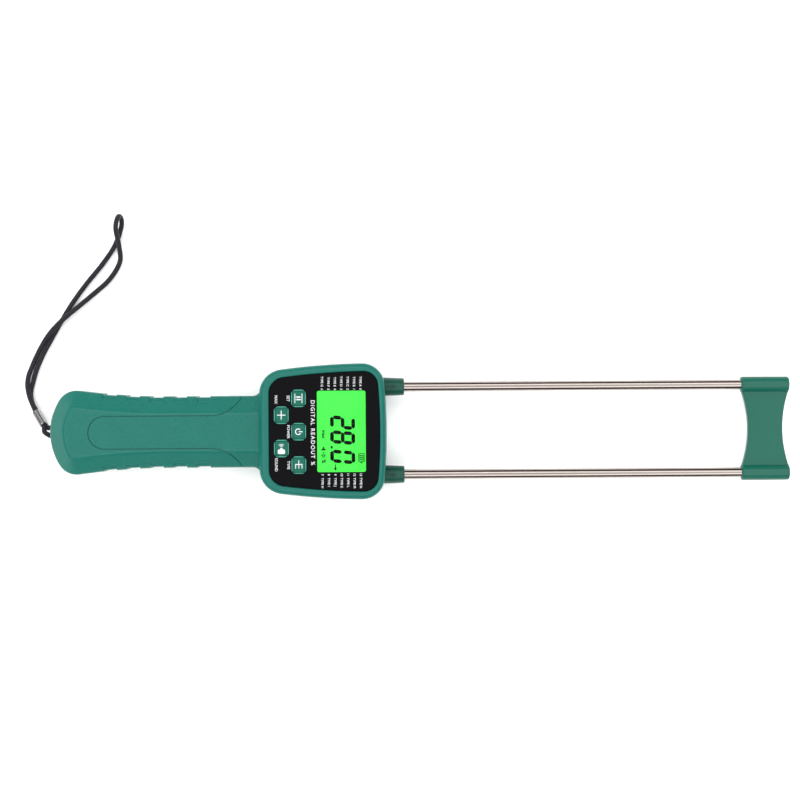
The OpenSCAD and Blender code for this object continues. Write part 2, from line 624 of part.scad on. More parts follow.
module terminal_nuts() color(steel) for (s = [-1, 1]) difference() {
    translate([rod_x0 - lug_t - nut_t, s * rod_y, part_z]) rotate([0, 90, 0]) rotate([0, 0, 30])
        cylinder(h = nut_t, r = stud_r * 2.1, $fn = 6);
    rod_x(rod_x0 - lug_t - nut_t - 1, rod_x0, s * rod_y, part_z, stud_r);
}

module terminal_lugs() color([0.8, 0.75, 0.6]) for (s = [-1, 1]) difference() {
    union() {
        rod_x(rod_x0 - lug_t, rod_x0, s * rod_y, part_z, stud_r + 1.6);
        block([rod_x0 - lug_t, s * rod_y - (s > 0 ? 7 : 0), part_z - 1.2],
            [rod_x0, s * rod_y + (s > 0 ? 0 : 7), part_z + 1.2]);
    }
    rod_x(rod_x0 - 2, rod_x0 + 1, s * rod_y, part_z, stud_r);
}

module probe_leads() color([0.1, 0.1, 0.5]) for (s = [-1, 1])
    tube([for (p = [[0, 0, 0], [-2, 0, 0], [-6.5, -1, 0.2], [-10, -1.8, 0.6], [-10.5, -1.8, 0.8],
        [-10.5, -1.8, 1]])
        [rod_x0 - lug_t + p[0], s * (rod_y - 6.2 + p[1]), part_z + p[2] * (pcb_z0 - part_z)]], 1.4, 6);

module probe_bridge() color(dark_green) {
    x0 = end_x - bridge_l;
    r = bridge_tube_d / 2;
    difference() {
        union() {
            for (s = [-1, 1]) translate([x0, s * rod_y, part_z]) rotate([0, 90, 0]) rotate_extrude()
                polygon(concat([[0, 0]], arc([r - 1, 1], 1, -90, 0, 5),
                    arc([r - 1, bridge_l - 1], 1, 0, 90, 5), [[0, bridge_l]]));
            translate([0, 0, part_z - bridge_web_t / 2]) linear_extrude(bridge_web_t) difference() {
                translate([x0 + 0.8, -rod_y]) square([bridge_l - 1.6, rod_spacing]);
                for (e = [-1, 1]) translate([x0 + bridge_l / 2
                    + e * (bridge_l / 2 - 4 + bridge_hollow_r), 0]) circle(r = bridge_hollow_r, $fn = 180);
            }
        }
        for (s = [-1, 1]) rod_x(x0 - 1, rod_x1, s * rod_y, part_z, rod_r);
    }
}

// --- Batteries ---

module cell(side, place, flip) color([0.8, 0.75, 0.3]) {
    x = bay_x1 - contact_t - 0.1 - cell_l * (place + 1);
    nub = 1;
    if (flip) {
        rod_x(x, x + cell_l - nub, side * cell_y, cell_z, cell_d / 2);
        rod_x(x, x + cell_l, side * cell_y, cell_z, cell_d * 0.26);
    } else {
        rod_x(x + nub, x + cell_l, side * cell_y, cell_z, cell_d / 2);
        rod_x(x, x + cell_l, side * cell_y, cell_z, cell_d * 0.26);
    }
}
module battery_1() cell(1, 0, true);
module battery_2() cell(1, 1, true);
module battery_3() cell(-1, 0, false);
module battery_4() cell(-1, 1, false);

contact_z0 = 2 * knuckle_r + 0.6;
module battery_contacts() color([0.85, 0.82, 0.7]) {
    block([bay_x0, -bay_y + 1, contact_z0], [bay_x0 + contact_t, bay_y - 1, cell_z + 4]);
    for (s = [-1, 1]) block([bay_x1 - contact_t, s > 0 ? 1 : -bay_y + 1, contact_z0],
        [bay_x1, s > 0 ? bay_y - 1 : -1, cell_z + 4]);
}

module battery_springs() color(steel) {
    turns = 2.5;
    steps = 10;
    wire = 0.7;
    for (s = [-1, 1]) tube([for (i = [0 : turns * steps]) let (f = i / (turns * steps), r = 3.6 - 1.2 * f)
        [bay_x0 + contact_t + wire / 2 + f * (spring_l - wire), s * cell_y + r * cos(360 * turns * f),
            cell_z + r * sin(360 * turns * f)]], wire, 6);
}

// Leads from the front contacts to the board: X and height both run from 0 to 1
module battery_leads() color([0.7, 0.1, 0.1])
    for (s = [-1, 1]) let (x0 = bay_x1 + 0.2, x1 = pcb_x0 + 3.4, z0 = cell_z + 4)
        tube([for (p = [[0, 0, 0], [0, 0, 0.1], [0.15, 0.4, 0.3], [0.48, 1, 0.5], [0.82, 1.4, 0.55],
            [0.97, 1.5, 0.75], [1, 1.5, 0.9], [1, 1.5, 1]])
            [x0 + p[0] * (x1 - x0), s * (cell_y + p[1]), z0 + p[2] * (pcb_z0 - z0)]], 1.2, 6);

// --- Fasteners ---

module case_screws() color(steel) for (p = case_screw_places, s = [-1, 1]) {
    difference() {
        union() {
            post(p.x, s * p.y, 1, 3.2, case_screw_head_r);
            post(p.x, s * p.y, 3, part_z + 8, case_screw_shank_r);
        }
        for (a = [0, 90]) translate([p.x, s * p.y, 0.9]) rotate([0, 0, a])
            block([-1.6, -0.3, 0], [1.6, 0.3, 1.3]);
    }
}

module pcb_screws() color(steel) for (p = pcb_screw_places) {
    post(p.x, p.y, pcb_z0 - 1.3, pcb_z0, 1.9);
    post(p.x, p.y, pcb_z0 - 0.1, pcb_z1 + 4.5, 1);
}

// --- Wrist strap ---

module strap_pin() color(steel) post(strap_pin_x, 0, floor_t + 0.9, part_z + 5, strap_pin_d / 2);

// The strap's route: out of the tail, through the ferrule, round the loop and back
strap_route = [[-207.2, 2, 10.5], [-211.5, 4.2, 10.5], [-219.5, 2.4, 10.5], [-223, 2.9, 9.5],
    [-227, 3.5, 6.3], [-232.7, 12, 2.6], [-236, 17.5, 1.8], [-237, 24, 1.7], [-235.5, 31, 1.7],
    [-233, 39, 1.7], [-229, 48, 1.7], [-223.5, 58, 1.7], [-217.5, 68.5, 1.7], [-211, 79, 1.7],
    [-202.5, 90.5, 1.7], [-193, 102, 1.7], [-185.5, 113, 1.7], [-181.7, 123, 1.7],
    [-180.8, 128, 2.6], [-181.2, 130.8, 5.4], [-182.3, 129.6, 8.6], [-183.3, 123, 9.2],
    [-182, 113, 5.4], [-182.2, 103.5, 2], [-188.5, 93, 1.7], [-198.5, 84, 1.7],
    [-208.5, 75.5, 2.8], [-217, 68, 4.7], [-224.5, 60.3, 4], [-230.7, 51.5, 1.7],
    [-235.5, 41.5, 1.7], [-238.4, 32.5, 2.9], [-237.6, 24, 4.9], [-233.3, 13, 5.7],
    [-227.6, 4.5, 9.4], [-226.6, 0.4, 11.1], [-223, -2, 11], [-219.5, -2.4, 10.5],
    [-211.5, -4.2, 10.5], [-207.2, -2, 10.5]];

module wrist_strap() color([0.2, 0.2, 0.22]) tube(smooth(strap_route, 2), cord_d);

// Oval metal tube that clasps both strands, one above the other, tilted down towards the loop
ferrule_c = [-230.15, 8.25, 6];
ferrule_l = 10.6;
ferrule_turn = 123.8;
ferrule_tilt = 20;
strand_gap = 3.15;
module oval(r, l) {
    for (s = [-1, 1]) translate([s * strand_gap / 2, 0, 0]) cylinder(h = l, r = r, center = true);
    cube([strand_gap, 2 * r, l], center = true);
}
module strap_ferrule() color([0.85, 0.85, 0.85]) translate(ferrule_c) rotate([0, 0, ferrule_turn])
    rotate([0, 90 + ferrule_tilt, 0]) difference() {
        oval(cord_d / 2 + 0.75, ferrule_l);
        oval(cord_d / 2 + 0.1, ferrule_l + 2);
    }

front_shell();
rear_shell();
battery_door();
door_pad();
fascia_panel();
display_window();
lcd_glass();
lcd_backlight();
lcd_holder();
zebra_strip();
main_pcb();
pcb_components();
key_switches();
adjust_key();
power_key();
varieties_key();
limit_key();
voice_key();
speaker();
speaker_leads();
probe_rod_left();
probe_rod_right();
probe_sleeve_left();
probe_sleeve_right();
probe_stud_left();
probe_stud_right();
terminal_nuts();
terminal_lugs();
probe_leads();
probe_bridge();
battery_1();
battery_2();
battery_3();
battery_4();
battery_contacts();
battery_springs();
battery_leads();
case_screws();
pcb_screws();
strap_pin();
strap_ferrule();
wrist_strap();
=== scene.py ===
"""Looks of a hand-held grain moisture meter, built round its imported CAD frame.

Meshes are modelled in millimetres and scaled to metres as each piece is made.
+X runs from the handle's tail to the tips of the rods, and +Z faces the display side.
"""

import json
import math

import bmesh
import bpy
from mathutils import Matrix, Vector
from mathutils.bvhtree import BVHTree


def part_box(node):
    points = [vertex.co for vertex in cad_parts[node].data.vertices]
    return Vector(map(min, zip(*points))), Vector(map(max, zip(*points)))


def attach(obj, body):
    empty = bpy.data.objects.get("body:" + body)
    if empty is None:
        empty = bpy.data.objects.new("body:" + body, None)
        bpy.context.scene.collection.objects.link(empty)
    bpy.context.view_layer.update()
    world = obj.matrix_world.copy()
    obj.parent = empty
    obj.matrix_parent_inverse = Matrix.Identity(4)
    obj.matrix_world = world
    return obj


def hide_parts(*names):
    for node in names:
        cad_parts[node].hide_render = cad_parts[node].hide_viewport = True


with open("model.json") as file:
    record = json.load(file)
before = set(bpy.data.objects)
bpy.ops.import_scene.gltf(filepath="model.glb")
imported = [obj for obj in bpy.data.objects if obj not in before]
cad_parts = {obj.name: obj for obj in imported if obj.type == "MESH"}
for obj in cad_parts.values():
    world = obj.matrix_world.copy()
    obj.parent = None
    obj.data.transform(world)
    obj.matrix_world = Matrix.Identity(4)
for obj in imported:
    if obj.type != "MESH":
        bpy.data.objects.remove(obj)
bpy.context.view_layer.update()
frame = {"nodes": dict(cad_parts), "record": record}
nodes = frame["nodes"]
scene = bpy.context.scene
MM = 0.001


def box_mm(node):
    """Lowest and highest corner of a CAD node, in millimetres."""
    low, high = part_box(node)
    return low / MM, high / MM


def middle_mm(node):
    """Middle of a CAD node as (x, y), in millimetres."""
    low, high = box_mm(node)
    return (low.x + high.x) / 2, (low.y + high.y) / 2


def placed(name, data):
    """New object in the scene, made of the data."""
    made = bpy.data.objects.new(name, data)
    scene.collection.objects.link(made)
    return made


# ---------------- camera

# In metres, with the turn in degrees
CAMERA_HEIGHT = 0.95
VIEW_X, VIEW_Y, VIEW_TURN = -0.0119, 0.0183, -0.36
VIEW_WIDTH = 0.480            # width of the view at the height of the rods
ROD_HEIGHT = 0.017


def make_camera():
    data = bpy.data.cameras.new("camera")
    data.sensor_width = 36
    data.lens = data.sensor_width * (CAMERA_HEIGHT - ROD_HEIGHT) / VIEW_WIDTH
    data.clip_start = 0.05
    camera = placed("camera", data)
    camera.location = (VIEW_X, VIEW_Y, CAMERA_HEIGHT)
    camera.rotation_euler = (0, 0, math.radians(VIEW_TURN))
    scene.camera = camera


make_camera()

# ---------------- shapes from points


def new_object(name, points, faces):
    """Mesh object with its normals facing out."""
    mesh = bpy.data.meshes.new(name)
    work = bmesh.new()
    corners = [work.verts.new(p) for p in points]
    for face in faces:
        work.faces.new([corners[i] for i in face])
    bmesh.ops.recalc_face_normals(work, faces=work.faces)
    work.to_mesh(mesh)
    work.free()
    return placed(name, mesh)


def arc(centre, radius, start, end, steps):
    """Points of an arc in degrees, without the first one."""
    angles = [math.radians(start + (end - start) * i / steps) for i in range(1, steps + 1)]
    return [(centre[0] + radius * math.cos(a), centre[1] + radius * math.sin(a)) for a in angles]


def rounded_line(corners, radii, steps=6):
    """Polyline whose inner corners are rounded to the radii given."""
    points = [Vector(corners[0])]
    for i, radius in enumerate(radii):
        before, corner, after = (Vector(c) for c in corners[i:i + 3])
        back, ahead = (before - corner).normalized(), (after - corner).normalized()
        half = back.angle(ahead) / 2
        centre = corner + (back + ahead).normalized() * radius / math.sin(half)
        start = corner + back * radius / math.tan(half) - centre
        end = corner + ahead * radius / math.tan(half) - centre
        points += [centre + start.lerp(end, k / steps).normalized() * radius
                   for k in range(steps + 1)]
    return [tuple(p) for p in points + [Vector(corners[-1])]]


def rounded_outline(width, height, radius, steps=8):
    """Rectangle centred on the origin, with rounded corners."""
    x, y = width / 2 - radius, height / 2 - radius
    corners = [(x, y, 0), (-x, y, 90), (-x, -y, 180), (x, -y, 270)]
    return [p for cx, cy, a in corners
            for p in arc((cx, cy), radius, a - 90 / steps, a + 90, steps + 1)]


def band_faces(rings, count, closed=False):
    """Faces between neighbouring rings of count points; closed joins the last ring to the first."""
    return [(j * count + i, j * count + (i + 1) % count,
             (j + 1) % rings * count + (i + 1) % count, (j + 1) % rings * count + i)
            for j in range(rings if closed else rings - 1) for i in range(count)]


def stacked(name, rings):
    """Solid through rings of equally many points, closed by a lid at each end."""
    count = len(rings[0])
    points = [p for ring in rings for p in ring]
    first = list(range(count))
    last = [(len(rings) - 1) * count + i for i in first]
    return new_object(name, points, band_faces(len(rings), count) + [first[::-1], last])


def prism(name, outline, low, high):
    return stacked(name, [[(x, y, z) for x, y in outline] for z in (low, high)])


def block(low, high):
    outline = [(low[0], low[1]), (high[0], low[1]), (high[0], high[1]), (low[0], high[1])]
    return prism("block", outline, low[2], high[2])


def plate(centre, size, radius, low, high):
    """Upright plate with rounded corners."""
    outline = [(centre[0] + x, centre[1] + y) for x, y in rounded_outline(*size, radius)]
    return prism("plate", outline, low, high)


def post(x, y, low, high, radius):
    return prism("post", arc((x, y), radius, 0, 360, 32), low, high)


def lathe_x(name, profile, y, z, segments=96):
    """Ring of a closed profile of (x, radius) turned about a line along X."""
    turns = [2 * math.pi * i / segments for i in range(segments)]
    points = [(x, y + r * math.cos(a), z + r * math.sin(a)) for a in turns for x, r in profile]
    return new_object(name, points, band_faces(segments, len(profile), closed=True))


def rod_x(x0, x1, y, z, radius):
    """Solid rod along X."""
    circle = arc((y, z), radius, 0, 360, 48)
    return stacked("rod", [[(x, a, b) for a, b in circle] for x in (x0, x1)])


def boolean(target, operation, parts):
    """Unites target with the parts, or cuts them out of it, and removes them."""
    for part in parts:
        group = bpy.data.collections.new("operands")
        group.objects.link(part)
        step = target.modifiers.new("step", "BOOLEAN")
        step.operation = operation
        step.solver = "EXACT"
        step.operand_type = "COLLECTION"
        step.collection = group
        settled(target)
        bpy.data.collections.remove(group)
        bpy.data.objects.remove(part)


def settled(piece):
    """Applies the modifiers of a piece to its mesh."""
    graph = bpy.context.evaluated_depsgraph_get()
    mesh = bpy.data.meshes.new_from_object(piece.evaluated_get(graph))
    piece.modifiers.clear()
    piece.data = mesh


def joined(name, parts):
    """One object made of several."""
    with bpy.context.temp_override(active_object=parts[0], selected_editable_objects=parts):
        bpy.ops.object.join()
    parts[0].name = name
    return parts[0]


def finished(piece, name, slot, body="casing", replaces=(), smooth=30):
    """Scales a piece to metres, gives it its name, finish and body, and hides the CAD nodes that it stands
    for.
    """
    piece.name = name
    piece.data.transform(Matrix.Scale(MM, 4))
    piece.data.shade_smooth()
    piece.data.set_sharp_from_angle(angle=math.radians(smooth))
    weights = piece.modifiers.new("weights", "WEIGHTED_NORMAL")
    weights.keep_sharp = True
    settled(piece)
    piece.data.name = name
    if not piece.data.materials:
        piece.data.materials.append(MATERIALS[slot])
    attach(piece, body)
    if replaces:
        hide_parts(*replaces)
    return piece


# ---------------- materials

MATERIALS = {}


def colour(red, green, blue):
    """Linear colour of an sRGB one given from 0 to 255."""
    def linear(value):
        v = value / 255
        return v / 12.92 if v <= 0.04045 else ((v + 0.055) / 1.055) ** 2.4
    return (linear(red), linear(green), linear(blue), 1)


class Shader:
    """A material with a Principled shader, and short ways to add nodes to it."""

    def __init__(self, slot, base, roughness, **constants):
        self.material = bpy.data.materials.new(slot)
        self.material.use_nodes = True
        self.tree = self.material.node_tree
        self.principled = self.tree.nodes["Principled BSDF"]
        self.principled.inputs["Base Color"].default_value = base
        self.principled.inputs["Roughness"].default_value = roughness
        for name, value in constants.items():
            self.principled.inputs[name.replace("_", " ")].default_value = value
        self.roughness = roughness
        MATERIALS[slot] = self.material

    def node(self, kind, **inputs):
        made = self.tree.nodes.new("ShaderNode" + kind)
        for name, value in inputs.items():
            made.inputs[name.replace("_", " ")].default_value = value
        return made

    def link(self, source, target):
        self.tree.links.new(source, target)

    def places(self, scale=(1, 1, 1)):
        """Object coordinates in millimetres, stretched by scale."""
        coordinates = self.node("TexCoord")
        mapping = self.node("Mapping", Scale=[s / MM for s in scale])
        self.link(coordinates.outputs["Object"], mapping.inputs["Vector"])
        return mapping.outputs["Vector"]

    def noise(self, size, detail=3.0, stretch=(1, 1, 1)):
        """Noise whose features are about size millimetres wide."""
        made = self.node("TexNoise", Scale=1 / size, Detail=detail, Roughness=0.6)
        self.link(self.places(stretch), made.inputs["Vector"])
        return made.outputs["Fac"]

    def ranged(self, value, low, high, start=0.3, end=0.7):
        made = self.node("MapRange", From_Min=start, From_Max=end, To_Min=low, To_Max=high)
        self.link(value, made.inputs["Value"])
        return made.outputs["Result"]

    def mixed(self, factor, first, second):
        """Mix of two colours, each a value or a socket."""
        made = self.node("Mix")
        made.data_type = "RGBA"
        for socket, value in ((made.inputs[6], first), (made.inputs[7], second)):
            if isinstance(value, bpy.types.NodeSocket):
                self.link(value, socket)
            else:
                socket.default_value = value
        self.link(factor, made.inputs[0])
        return made.outputs[2]

    def edges(self, radius=0.35):
        """1 on edges, within about a radius in millimetres, where a highlight is painted, and 0 elsewhere."""
        bevel = self.node("Bevel", Radius=radius * MM)
        bevel.samples = 4
        turn = self.node("VectorMath")
        turn.operation = "DOT_PRODUCT"
        self.link(bevel.outputs["Normal"], turn.inputs[0])
        self.link(self.node("NewGeometry").outputs["Normal"], turn.inputs[1])
        return self.ranged(turn.outputs["Value"], 1, 0, 0.86, 0.985)

    def paint(self, socket):
        self.link(socket, self.principled.inputs["Base Color"])

    def vary_roughness(self, value, spread):
        self.link(self.ranged(value, self.roughness - spread, self.roughness + spread),
                  self.principled.inputs["Roughness"])

    def glow(self, size, detail, dim, bright):
        """Emission that drifts between two colours."""
        drift = self.ranged(self.noise(size, detail), 0, 1)
        self.link(self.mixed(drift, dim, bright), self.principled.inputs["Emission Color"])

    def bump(self, value, height):
        """Relief of the given height in millimetres."""
        made = self.node("Bump", Strength=1.0, Distance=height * MM)
        self.link(value, made.inputs["Height"])
        self.link(made.outputs["Normal"], self.principled.inputs["Normal"])


def shaded(base, factor):
    return (base[0] * factor, base[1] * factor, base[2] * factor, 1)


def moulded(slot, base, roughness, grain=0.45, relief=0.03, edge_highlight=1.35, fleck=0.14, **constants):
    """Moulded plastic: fine spark grain, faint clouding, and edges made paler by a painted highlight."""
    shader = Shader(slot, base, roughness, **constants)
    spark = shader.noise(grain, 4.0)
    cloud = shader.noise(14.0, 2.0)
    grained = shader.mixed(shader.ranged(spark, 0, 1), shaded(base, 1 - fleck), shaded(base, 1 + fleck))
    clouded = shader.mixed(shader.ranged(cloud, 0, 0.35), grained, shaded(base, 0.86))
    # Painted highlight: the edges that the Bevel node finds get a lighter copy of the base colour.
    shader.paint(shader.mixed(shader.edges(), clouded, shaded(base, edge_highlight)))
    shader.vary_roughness(spark, 0.07)
    shader.bump(spark, relief)
    return shader


def metal(slot, base, roughness, stretch=(1, 1, 1), size=0.2, relief=0.003):
    """Worked metal: fine marks that run where stretch is small."""
    shader = Shader(slot, base, roughness, Metallic=1.0)
    marks = shader.noise(size, 4.0, stretch)
    shader.paint(shader.mixed(shader.ranged(marks, 0, 1), shaded(base, 0.86), shaded(base, 1.1)))
    shader.vary_roughness(marks, 0.06)
    shader.bump(marks, relief)
    return shader


def make_materials():
    moulded("green_abs", colour(9, 90, 80), 0.34, grain=0.7, relief=0.07, fleck=0.22,
            Specular_IOR_Level=0.27)
    moulded("dark_green", colour(6, 62, 50), 0.38, relief=0.015, fleck=0.06, Specular_IOR_Level=0.3)
    moulded("bridge_green", colour(12, 80, 66), 0.36, relief=0.012, fleck=0.05, Specular_IOR_Level=0.3)
    moulded("black_panel", colour(7, 7, 10), 0.32, grain=0.3, relief=0.004, fleck=0.2,
            Specular_IOR_Level=0.06)
    moulded("black_plastic", colour(26, 27, 29), 0.42, relief=0.01)
    moulded("white_plastic", colour(222, 222, 214), 0.45, relief=0.01, fleck=0.04, edge_highlight=1.05)
    moulded("rubber_strip", colour(178, 128, 140), 0.7, relief=0.02)
    moulded("black_foam", colour(38, 38, 41), 0.95, grain=0.9, relief=0.15)
    for slot, base, roughness, relief in (("key_green", colour(8, 58, 48), 0.40, 0.006),
                                          ("key_ring", colour(64, 140, 124), 0.35, 0.004),
                                          ("key_face", colour(12, 84, 70), 0.38, 0.006)):
        moulded(slot, base, roughness, grain=0.3, relief=relief, fleck=0.05, Specular_IOR_Level=0.2)
    moulded("lead_red", colour(170, 28, 30), 0.4, relief=0.004, fleck=0.05)
    moulded("lead_blue", colour(30, 52, 150), 0.4, relief=0.004, fleck=0.05)
    moulded("white_ink", colour(200, 202, 204), 0.55, grain=0.12, relief=0.004, fleck=0.06, edge_highlight=1.0)
    moulded("lcd_ink", colour(2, 5, 3), 0.5, grain=0.2, relief=0.002, fleck=0.2, edge_highlight=1.0,
            Specular_IOR_Level=0.05)
    metal("stainless", colour(160, 151, 146), 0.12, stretch=(0.02, 1, 1), size=0.12)
    metal("ferrule", colour(160, 160, 162), 0.26, size=0.15, relief=0.006)
    metal("screw_steel", colour(150, 150, 152), 0.32, size=0.25)
    metal("brass", colour(200, 168, 96), 0.25, size=0.25)
    metal("tinned", colour(206, 204, 196), 0.28, size=0.25)
    make_lcd()
    make_clear_window()
    make_circuit_board()
    make_cell_jacket()
    make_strap_cord()


def make_lcd():
    """Lit glass of the display, and the guide that lights it from behind."""
    lcd = Shader("lcd", colour(20, 80, 24), 0.35, Emission_Strength=1.05, Specular_IOR_Level=0.05)
    lcd.glow(26.0, 1.0, colour(72, 255, 78), colour(82, 255, 88))
    guide = Shader("light_guide", colour(220, 245, 222), 0.4, Emission_Strength=0.3)
    guide.glow(9.0, 3.0, colour(180, 255, 180), colour(205, 255, 205))


def make_clear_window():
    shader = Shader("clear_window", (1, 1, 1, 1), 0.01, Transmission_Weight=1.0, IOR=1.15)
    shader.link(shader.ranged(shader.noise(5.0), 0.0, 0.02), shader.principled.inputs["Roughness"])


def make_circuit_board():
    base = colour(18, 84, 46)
    shader = Shader("circuit_board", base, 0.35)
    tracks = shader.node("TexBrick", Scale=0.35, Mortar_Size=0.05)
    shader.link(shader.places(), tracks.inputs["Vector"])
    shader.paint(shader.mixed(shader.ranged(tracks.outputs["Fac"], 0, 1, 0, 1), base, shaded(base, 1.5)))
    shader.vary_roughness(shader.noise(1.0), 0.06)
    shader.bump(tracks.outputs["Fac"], 0.03)


def make_cell_jacket():
    """Shrunk jacket with a fine mottled grain."""
    shader = Shader("cell_jacket", colour(176, 138, 52), 0.3, Metallic=0.6)
    grain = shader.noise(0.6)
    shader.paint(shader.mixed(shader.ranged(grain, 0, 1), colour(168, 130, 48), colour(190, 152, 62)))
    shader.vary_roughness(grain, 0.05)
    shader.bump(grain, 0.006)


def make_strap_cord():
    base = colour(27, 27, 32)
    shader = Shader("strap_cord", base, 0.62, Sheen_Weight=0.12, Sheen_Roughness=0.4, Specular_IOR_Level=0.2)
    fibre = shader.noise(0.16, 4.0)
    shader.paint(shader.mixed(shader.ranged(fibre, 0, 1), shaded(base, 0.6), shaded(base, 1.5)))
    shader.vary_roughness(fibre, 0.1)
    shader.bump(fibre, 0.05)


make_materials()
for part in frame["record"]["subparts"]:
    cad_materials = nodes[part["node"]].data.materials
    cad_materials.clear()
    cad_materials.append(MATERIALS[part["material_slot"]])

# ---------------- wrist strap

CORD_D = 3.0
STRAP_Y, STRAP_Z = 2.4, 10.5  # where each leg leaves the tail, either side of the middle
# The strap's route: out of the tail, through the ferrule, round the loop and back
STRAP_ROUTE = [
    (-207.2, 2, 10.5), (-211.5, 4.2, 10.5), (-219.5, 2.4, 10.5), (-223, 2.9, 9.5),
    (-227, 3.5, 6.3), (-232.7, 12, 2.6), (-236, 17.5, 1.8), (-237, 24, 1.7), (-235.5, 31, 1.7),
    (-233, 39, 1.7), (-229, 48, 1.7), (-223.5, 58, 1.7), (-217.5, 68.5, 1.7), (-211, 79, 1.7),
    (-202.5, 90.5, 1.7), (-193, 102, 1.7), (-185.5, 113, 1.7), (-181.7, 123, 1.7),
    (-180.8, 128, 2.6), (-181.2, 130.8, 5.4), (-182.3, 129.6, 8.6), (-183.3, 123, 9.2),
    (-182, 113, 5.4), (-182.2, 103.5, 2), (-188.5, 93, 1.7), (-198.5, 84, 1.7),
    (-208.5, 75.5, 2.8), (-217, 68, 4.7), (-224.5, 60.3, 4), (-230.7, 51.5, 1.7),
    (-235.5, 41.5, 1.7), (-238.4, 32.5, 2.9), (-237.6, 24, 4.9), (-233.3, 13, 5.7),
    (-227.6, 4.5, 9.4), (-226.6, 0.4, 11.1), (-223, -2, 11), (-219.5, -2.4, 10.5),
    (-211.5, -4.2, 10.5), (-207.2, -2, 10.5)]


def smooth_route(points, steps):
    """Curve through the points, with equal steps between each two."""
    points = [Vector(p) for p in points]
    route = []
    for i in range(len(points) - 1):
        a, b = points[max(i - 1, 0)], points[i]
        c, d = points[i + 1], points[min(i + 2, len(points) - 1)]
        for k in range(steps):
            t = k / steps
            route.append(0.5 * (2 * b + (c - a) * t + (2 * a - 5 * b + 4 * c - d) * t * t
                                + (3 * b - a - 3 * c + d) * t ** 3))
    return route + [points[-1]]


def swept(name, route, radius_at, sides):
    """Tube along a route; radius_at gives its radius from the length along it and the angle round it."""
    rings = []
    along = 0.0
    side = (route[1] - route[0]).cross(Vector((0.1, 0.2, 1))).normalized()
    for i, place in enumerate(route):
        ahead = (route[min(i + 1, len(route) - 1)] - route[max(i - 1, 0)]).normalized()
        side = (side - side.dot(ahead) * ahead).normalized()
        up = ahead.cross(side)
        if i:
            along += (place - route[i - 1]).length
        ring = []
        for s in range(sides):
            angle = 2 * math.pi * s / sides
            ring.append(place + radius_at(along, angle) * (math.cos(angle) * side + math.sin(angle) * up))
        rings.append(ring)
    return stacked(name, rings)


def braided(along, angle):
    """Radius of a braided cord: two families of strands that wind in opposite directions."""
    strands, pitch, relief = 6, 9.0, 0.07
    turn = 2 * math.pi * along / pitch
    left = math.cos(strands * (angle + turn))
    right = math.cos(strands * (angle - turn))
    return CORD_D / 2 - relief / 2 + relief / 2 * max(left, right)


def make_strap():
    route = smooth_route(STRAP_ROUTE, 24)
    strap = finished(swept("wrist_strap_cord", route, braided, 36), "wrist_strap_cord", "strap_cord",
                     replaces=["wrist_strap"], smooth=80)
    ferrule = make_ferrule()


def make_ferrule():
    """Oval metal tube round both strands, drawn with fine ribs along it and rolled ends."""
    centre, length, turn, tilt = Vector((-230.15, 8.25, 6)), 10.6, 123.8, 20
    half_gap, outer, inner = 3.15 / 2, CORD_D / 2 + 0.75, CORD_D / 2 + 0.1
    ribs, lip = 0.05, 0.35

    def oval(radius, ripple):
        points = []
        for side, start in ((1, -90), (-1, 90)):
            for k in range(49):
                angle = math.radians(start + 180 * k / 48)
                r = radius + ripple * math.cos(14 * angle)
                points.append((side * half_gap + r * math.cos(angle), r * math.sin(angle)))
        return points

    ends = [(-length / 2, outer - lip, 0), (-length / 2 + 0.12, outer - 0.1, 0),
            (-length / 2 + lip, outer, 0), (-length / 2 + 0.9, outer, 0),
            (-length / 2 + 1.1, outer - ribs, ribs)]
    rows = ends + [(-z, r, ripple) for z, r, ripple in ends[::-1]]
    rows += [(length / 2, inner, 0), (-length / 2, inner, 0)]
    points = [(x, y, z) for z, r, ripple in rows for x, y in oval(r, ripple)]
    faces = band_faces(len(rows), len(points) // len(rows), closed=True)
    ferrule = new_object("ferrule", points, faces)
    place = (Matrix.Translation(centre) @ Matrix.Rotation(math.radians(turn), 4, "Z")
             @ Matrix.Rotation(math.radians(90 + tilt), 4, "Y"))
    ferrule.data.transform(place)
    return finished(ferrule, "strap_ferrule_oval", "ferrule", replaces=["strap_ferrule"], smooth=50)


make_strap()

# ---------------- outlines of the shells

front_low, front_high = box_mm("front_shell")
TAIL_X = front_low.x
HEAD_X1 = front_high.x
HEAD_H = front_high.z
HEAD_W = front_high.y - front_low.y
PART_Z = front_low.z
HEAD_L = 75.0
HEAD_X0 = HEAD_X1 - HEAD_L

GRIP_Y, GRIP_H, TAIL_Y = 21.35, 31.0, 25.2
TAIL_END_R, TAIL_CORNER_R = 37.0, 12.0
BEVEL_W, BEVEL_H, BACK_BEVEL = 10.0, 9.0, 8.0
NECK_R = 5.0
FRONT_R, FRONT_Y = 13.2, 27.0
REAR_R, REAR_Y = 14.4, 22.5
SIDE_BOW_R, FRONT_BOW_R = 432.0, 337.0
RIM_R, RIM_W, PANEL_DROP = 3.2, 4.8, 1.6
EDGE_R, RIDGE_R, BACK_R = 2.6, 3.9, 5.0
WALL, FLOOR = 2.2, 2.4
FACET_IN = WALL * 0.414       # inset of the inner wall where a facet meets a side
SEAM = 0.25                   # chamfer on each shell at the parting line
STEP = 0.02                   # keeps faces of the handle and the head that would coincide apart

NOTCH_X, NOTCH_PITCH, NOTCH_L, NOTCH_DEPTH, NOTCHES = TAIL_X + 32, 14.0, 7.8, 0.7, 5
NOTCH_REACH = 2.5             # how far a notch runs in over the bevel
NOTCH_SLOPE = 0.6             # width of the slope at its inner end


def holding_centre(c1, r1, c2, r2, radius, side):
    """Centre of a circle of that radius which holds two circles tangent inside it."""
    gap = c2 - c1
    along = gap.normalized()
    d1, d2, d = radius - r1, radius - r2, gap.length
    a = (d1 * d1 - d2 * d2 + d * d) / (2 * d)
    return c1 + a * along + side * math.sqrt(d1 * d1 - a * a) * Vector((-along.y, along.x))


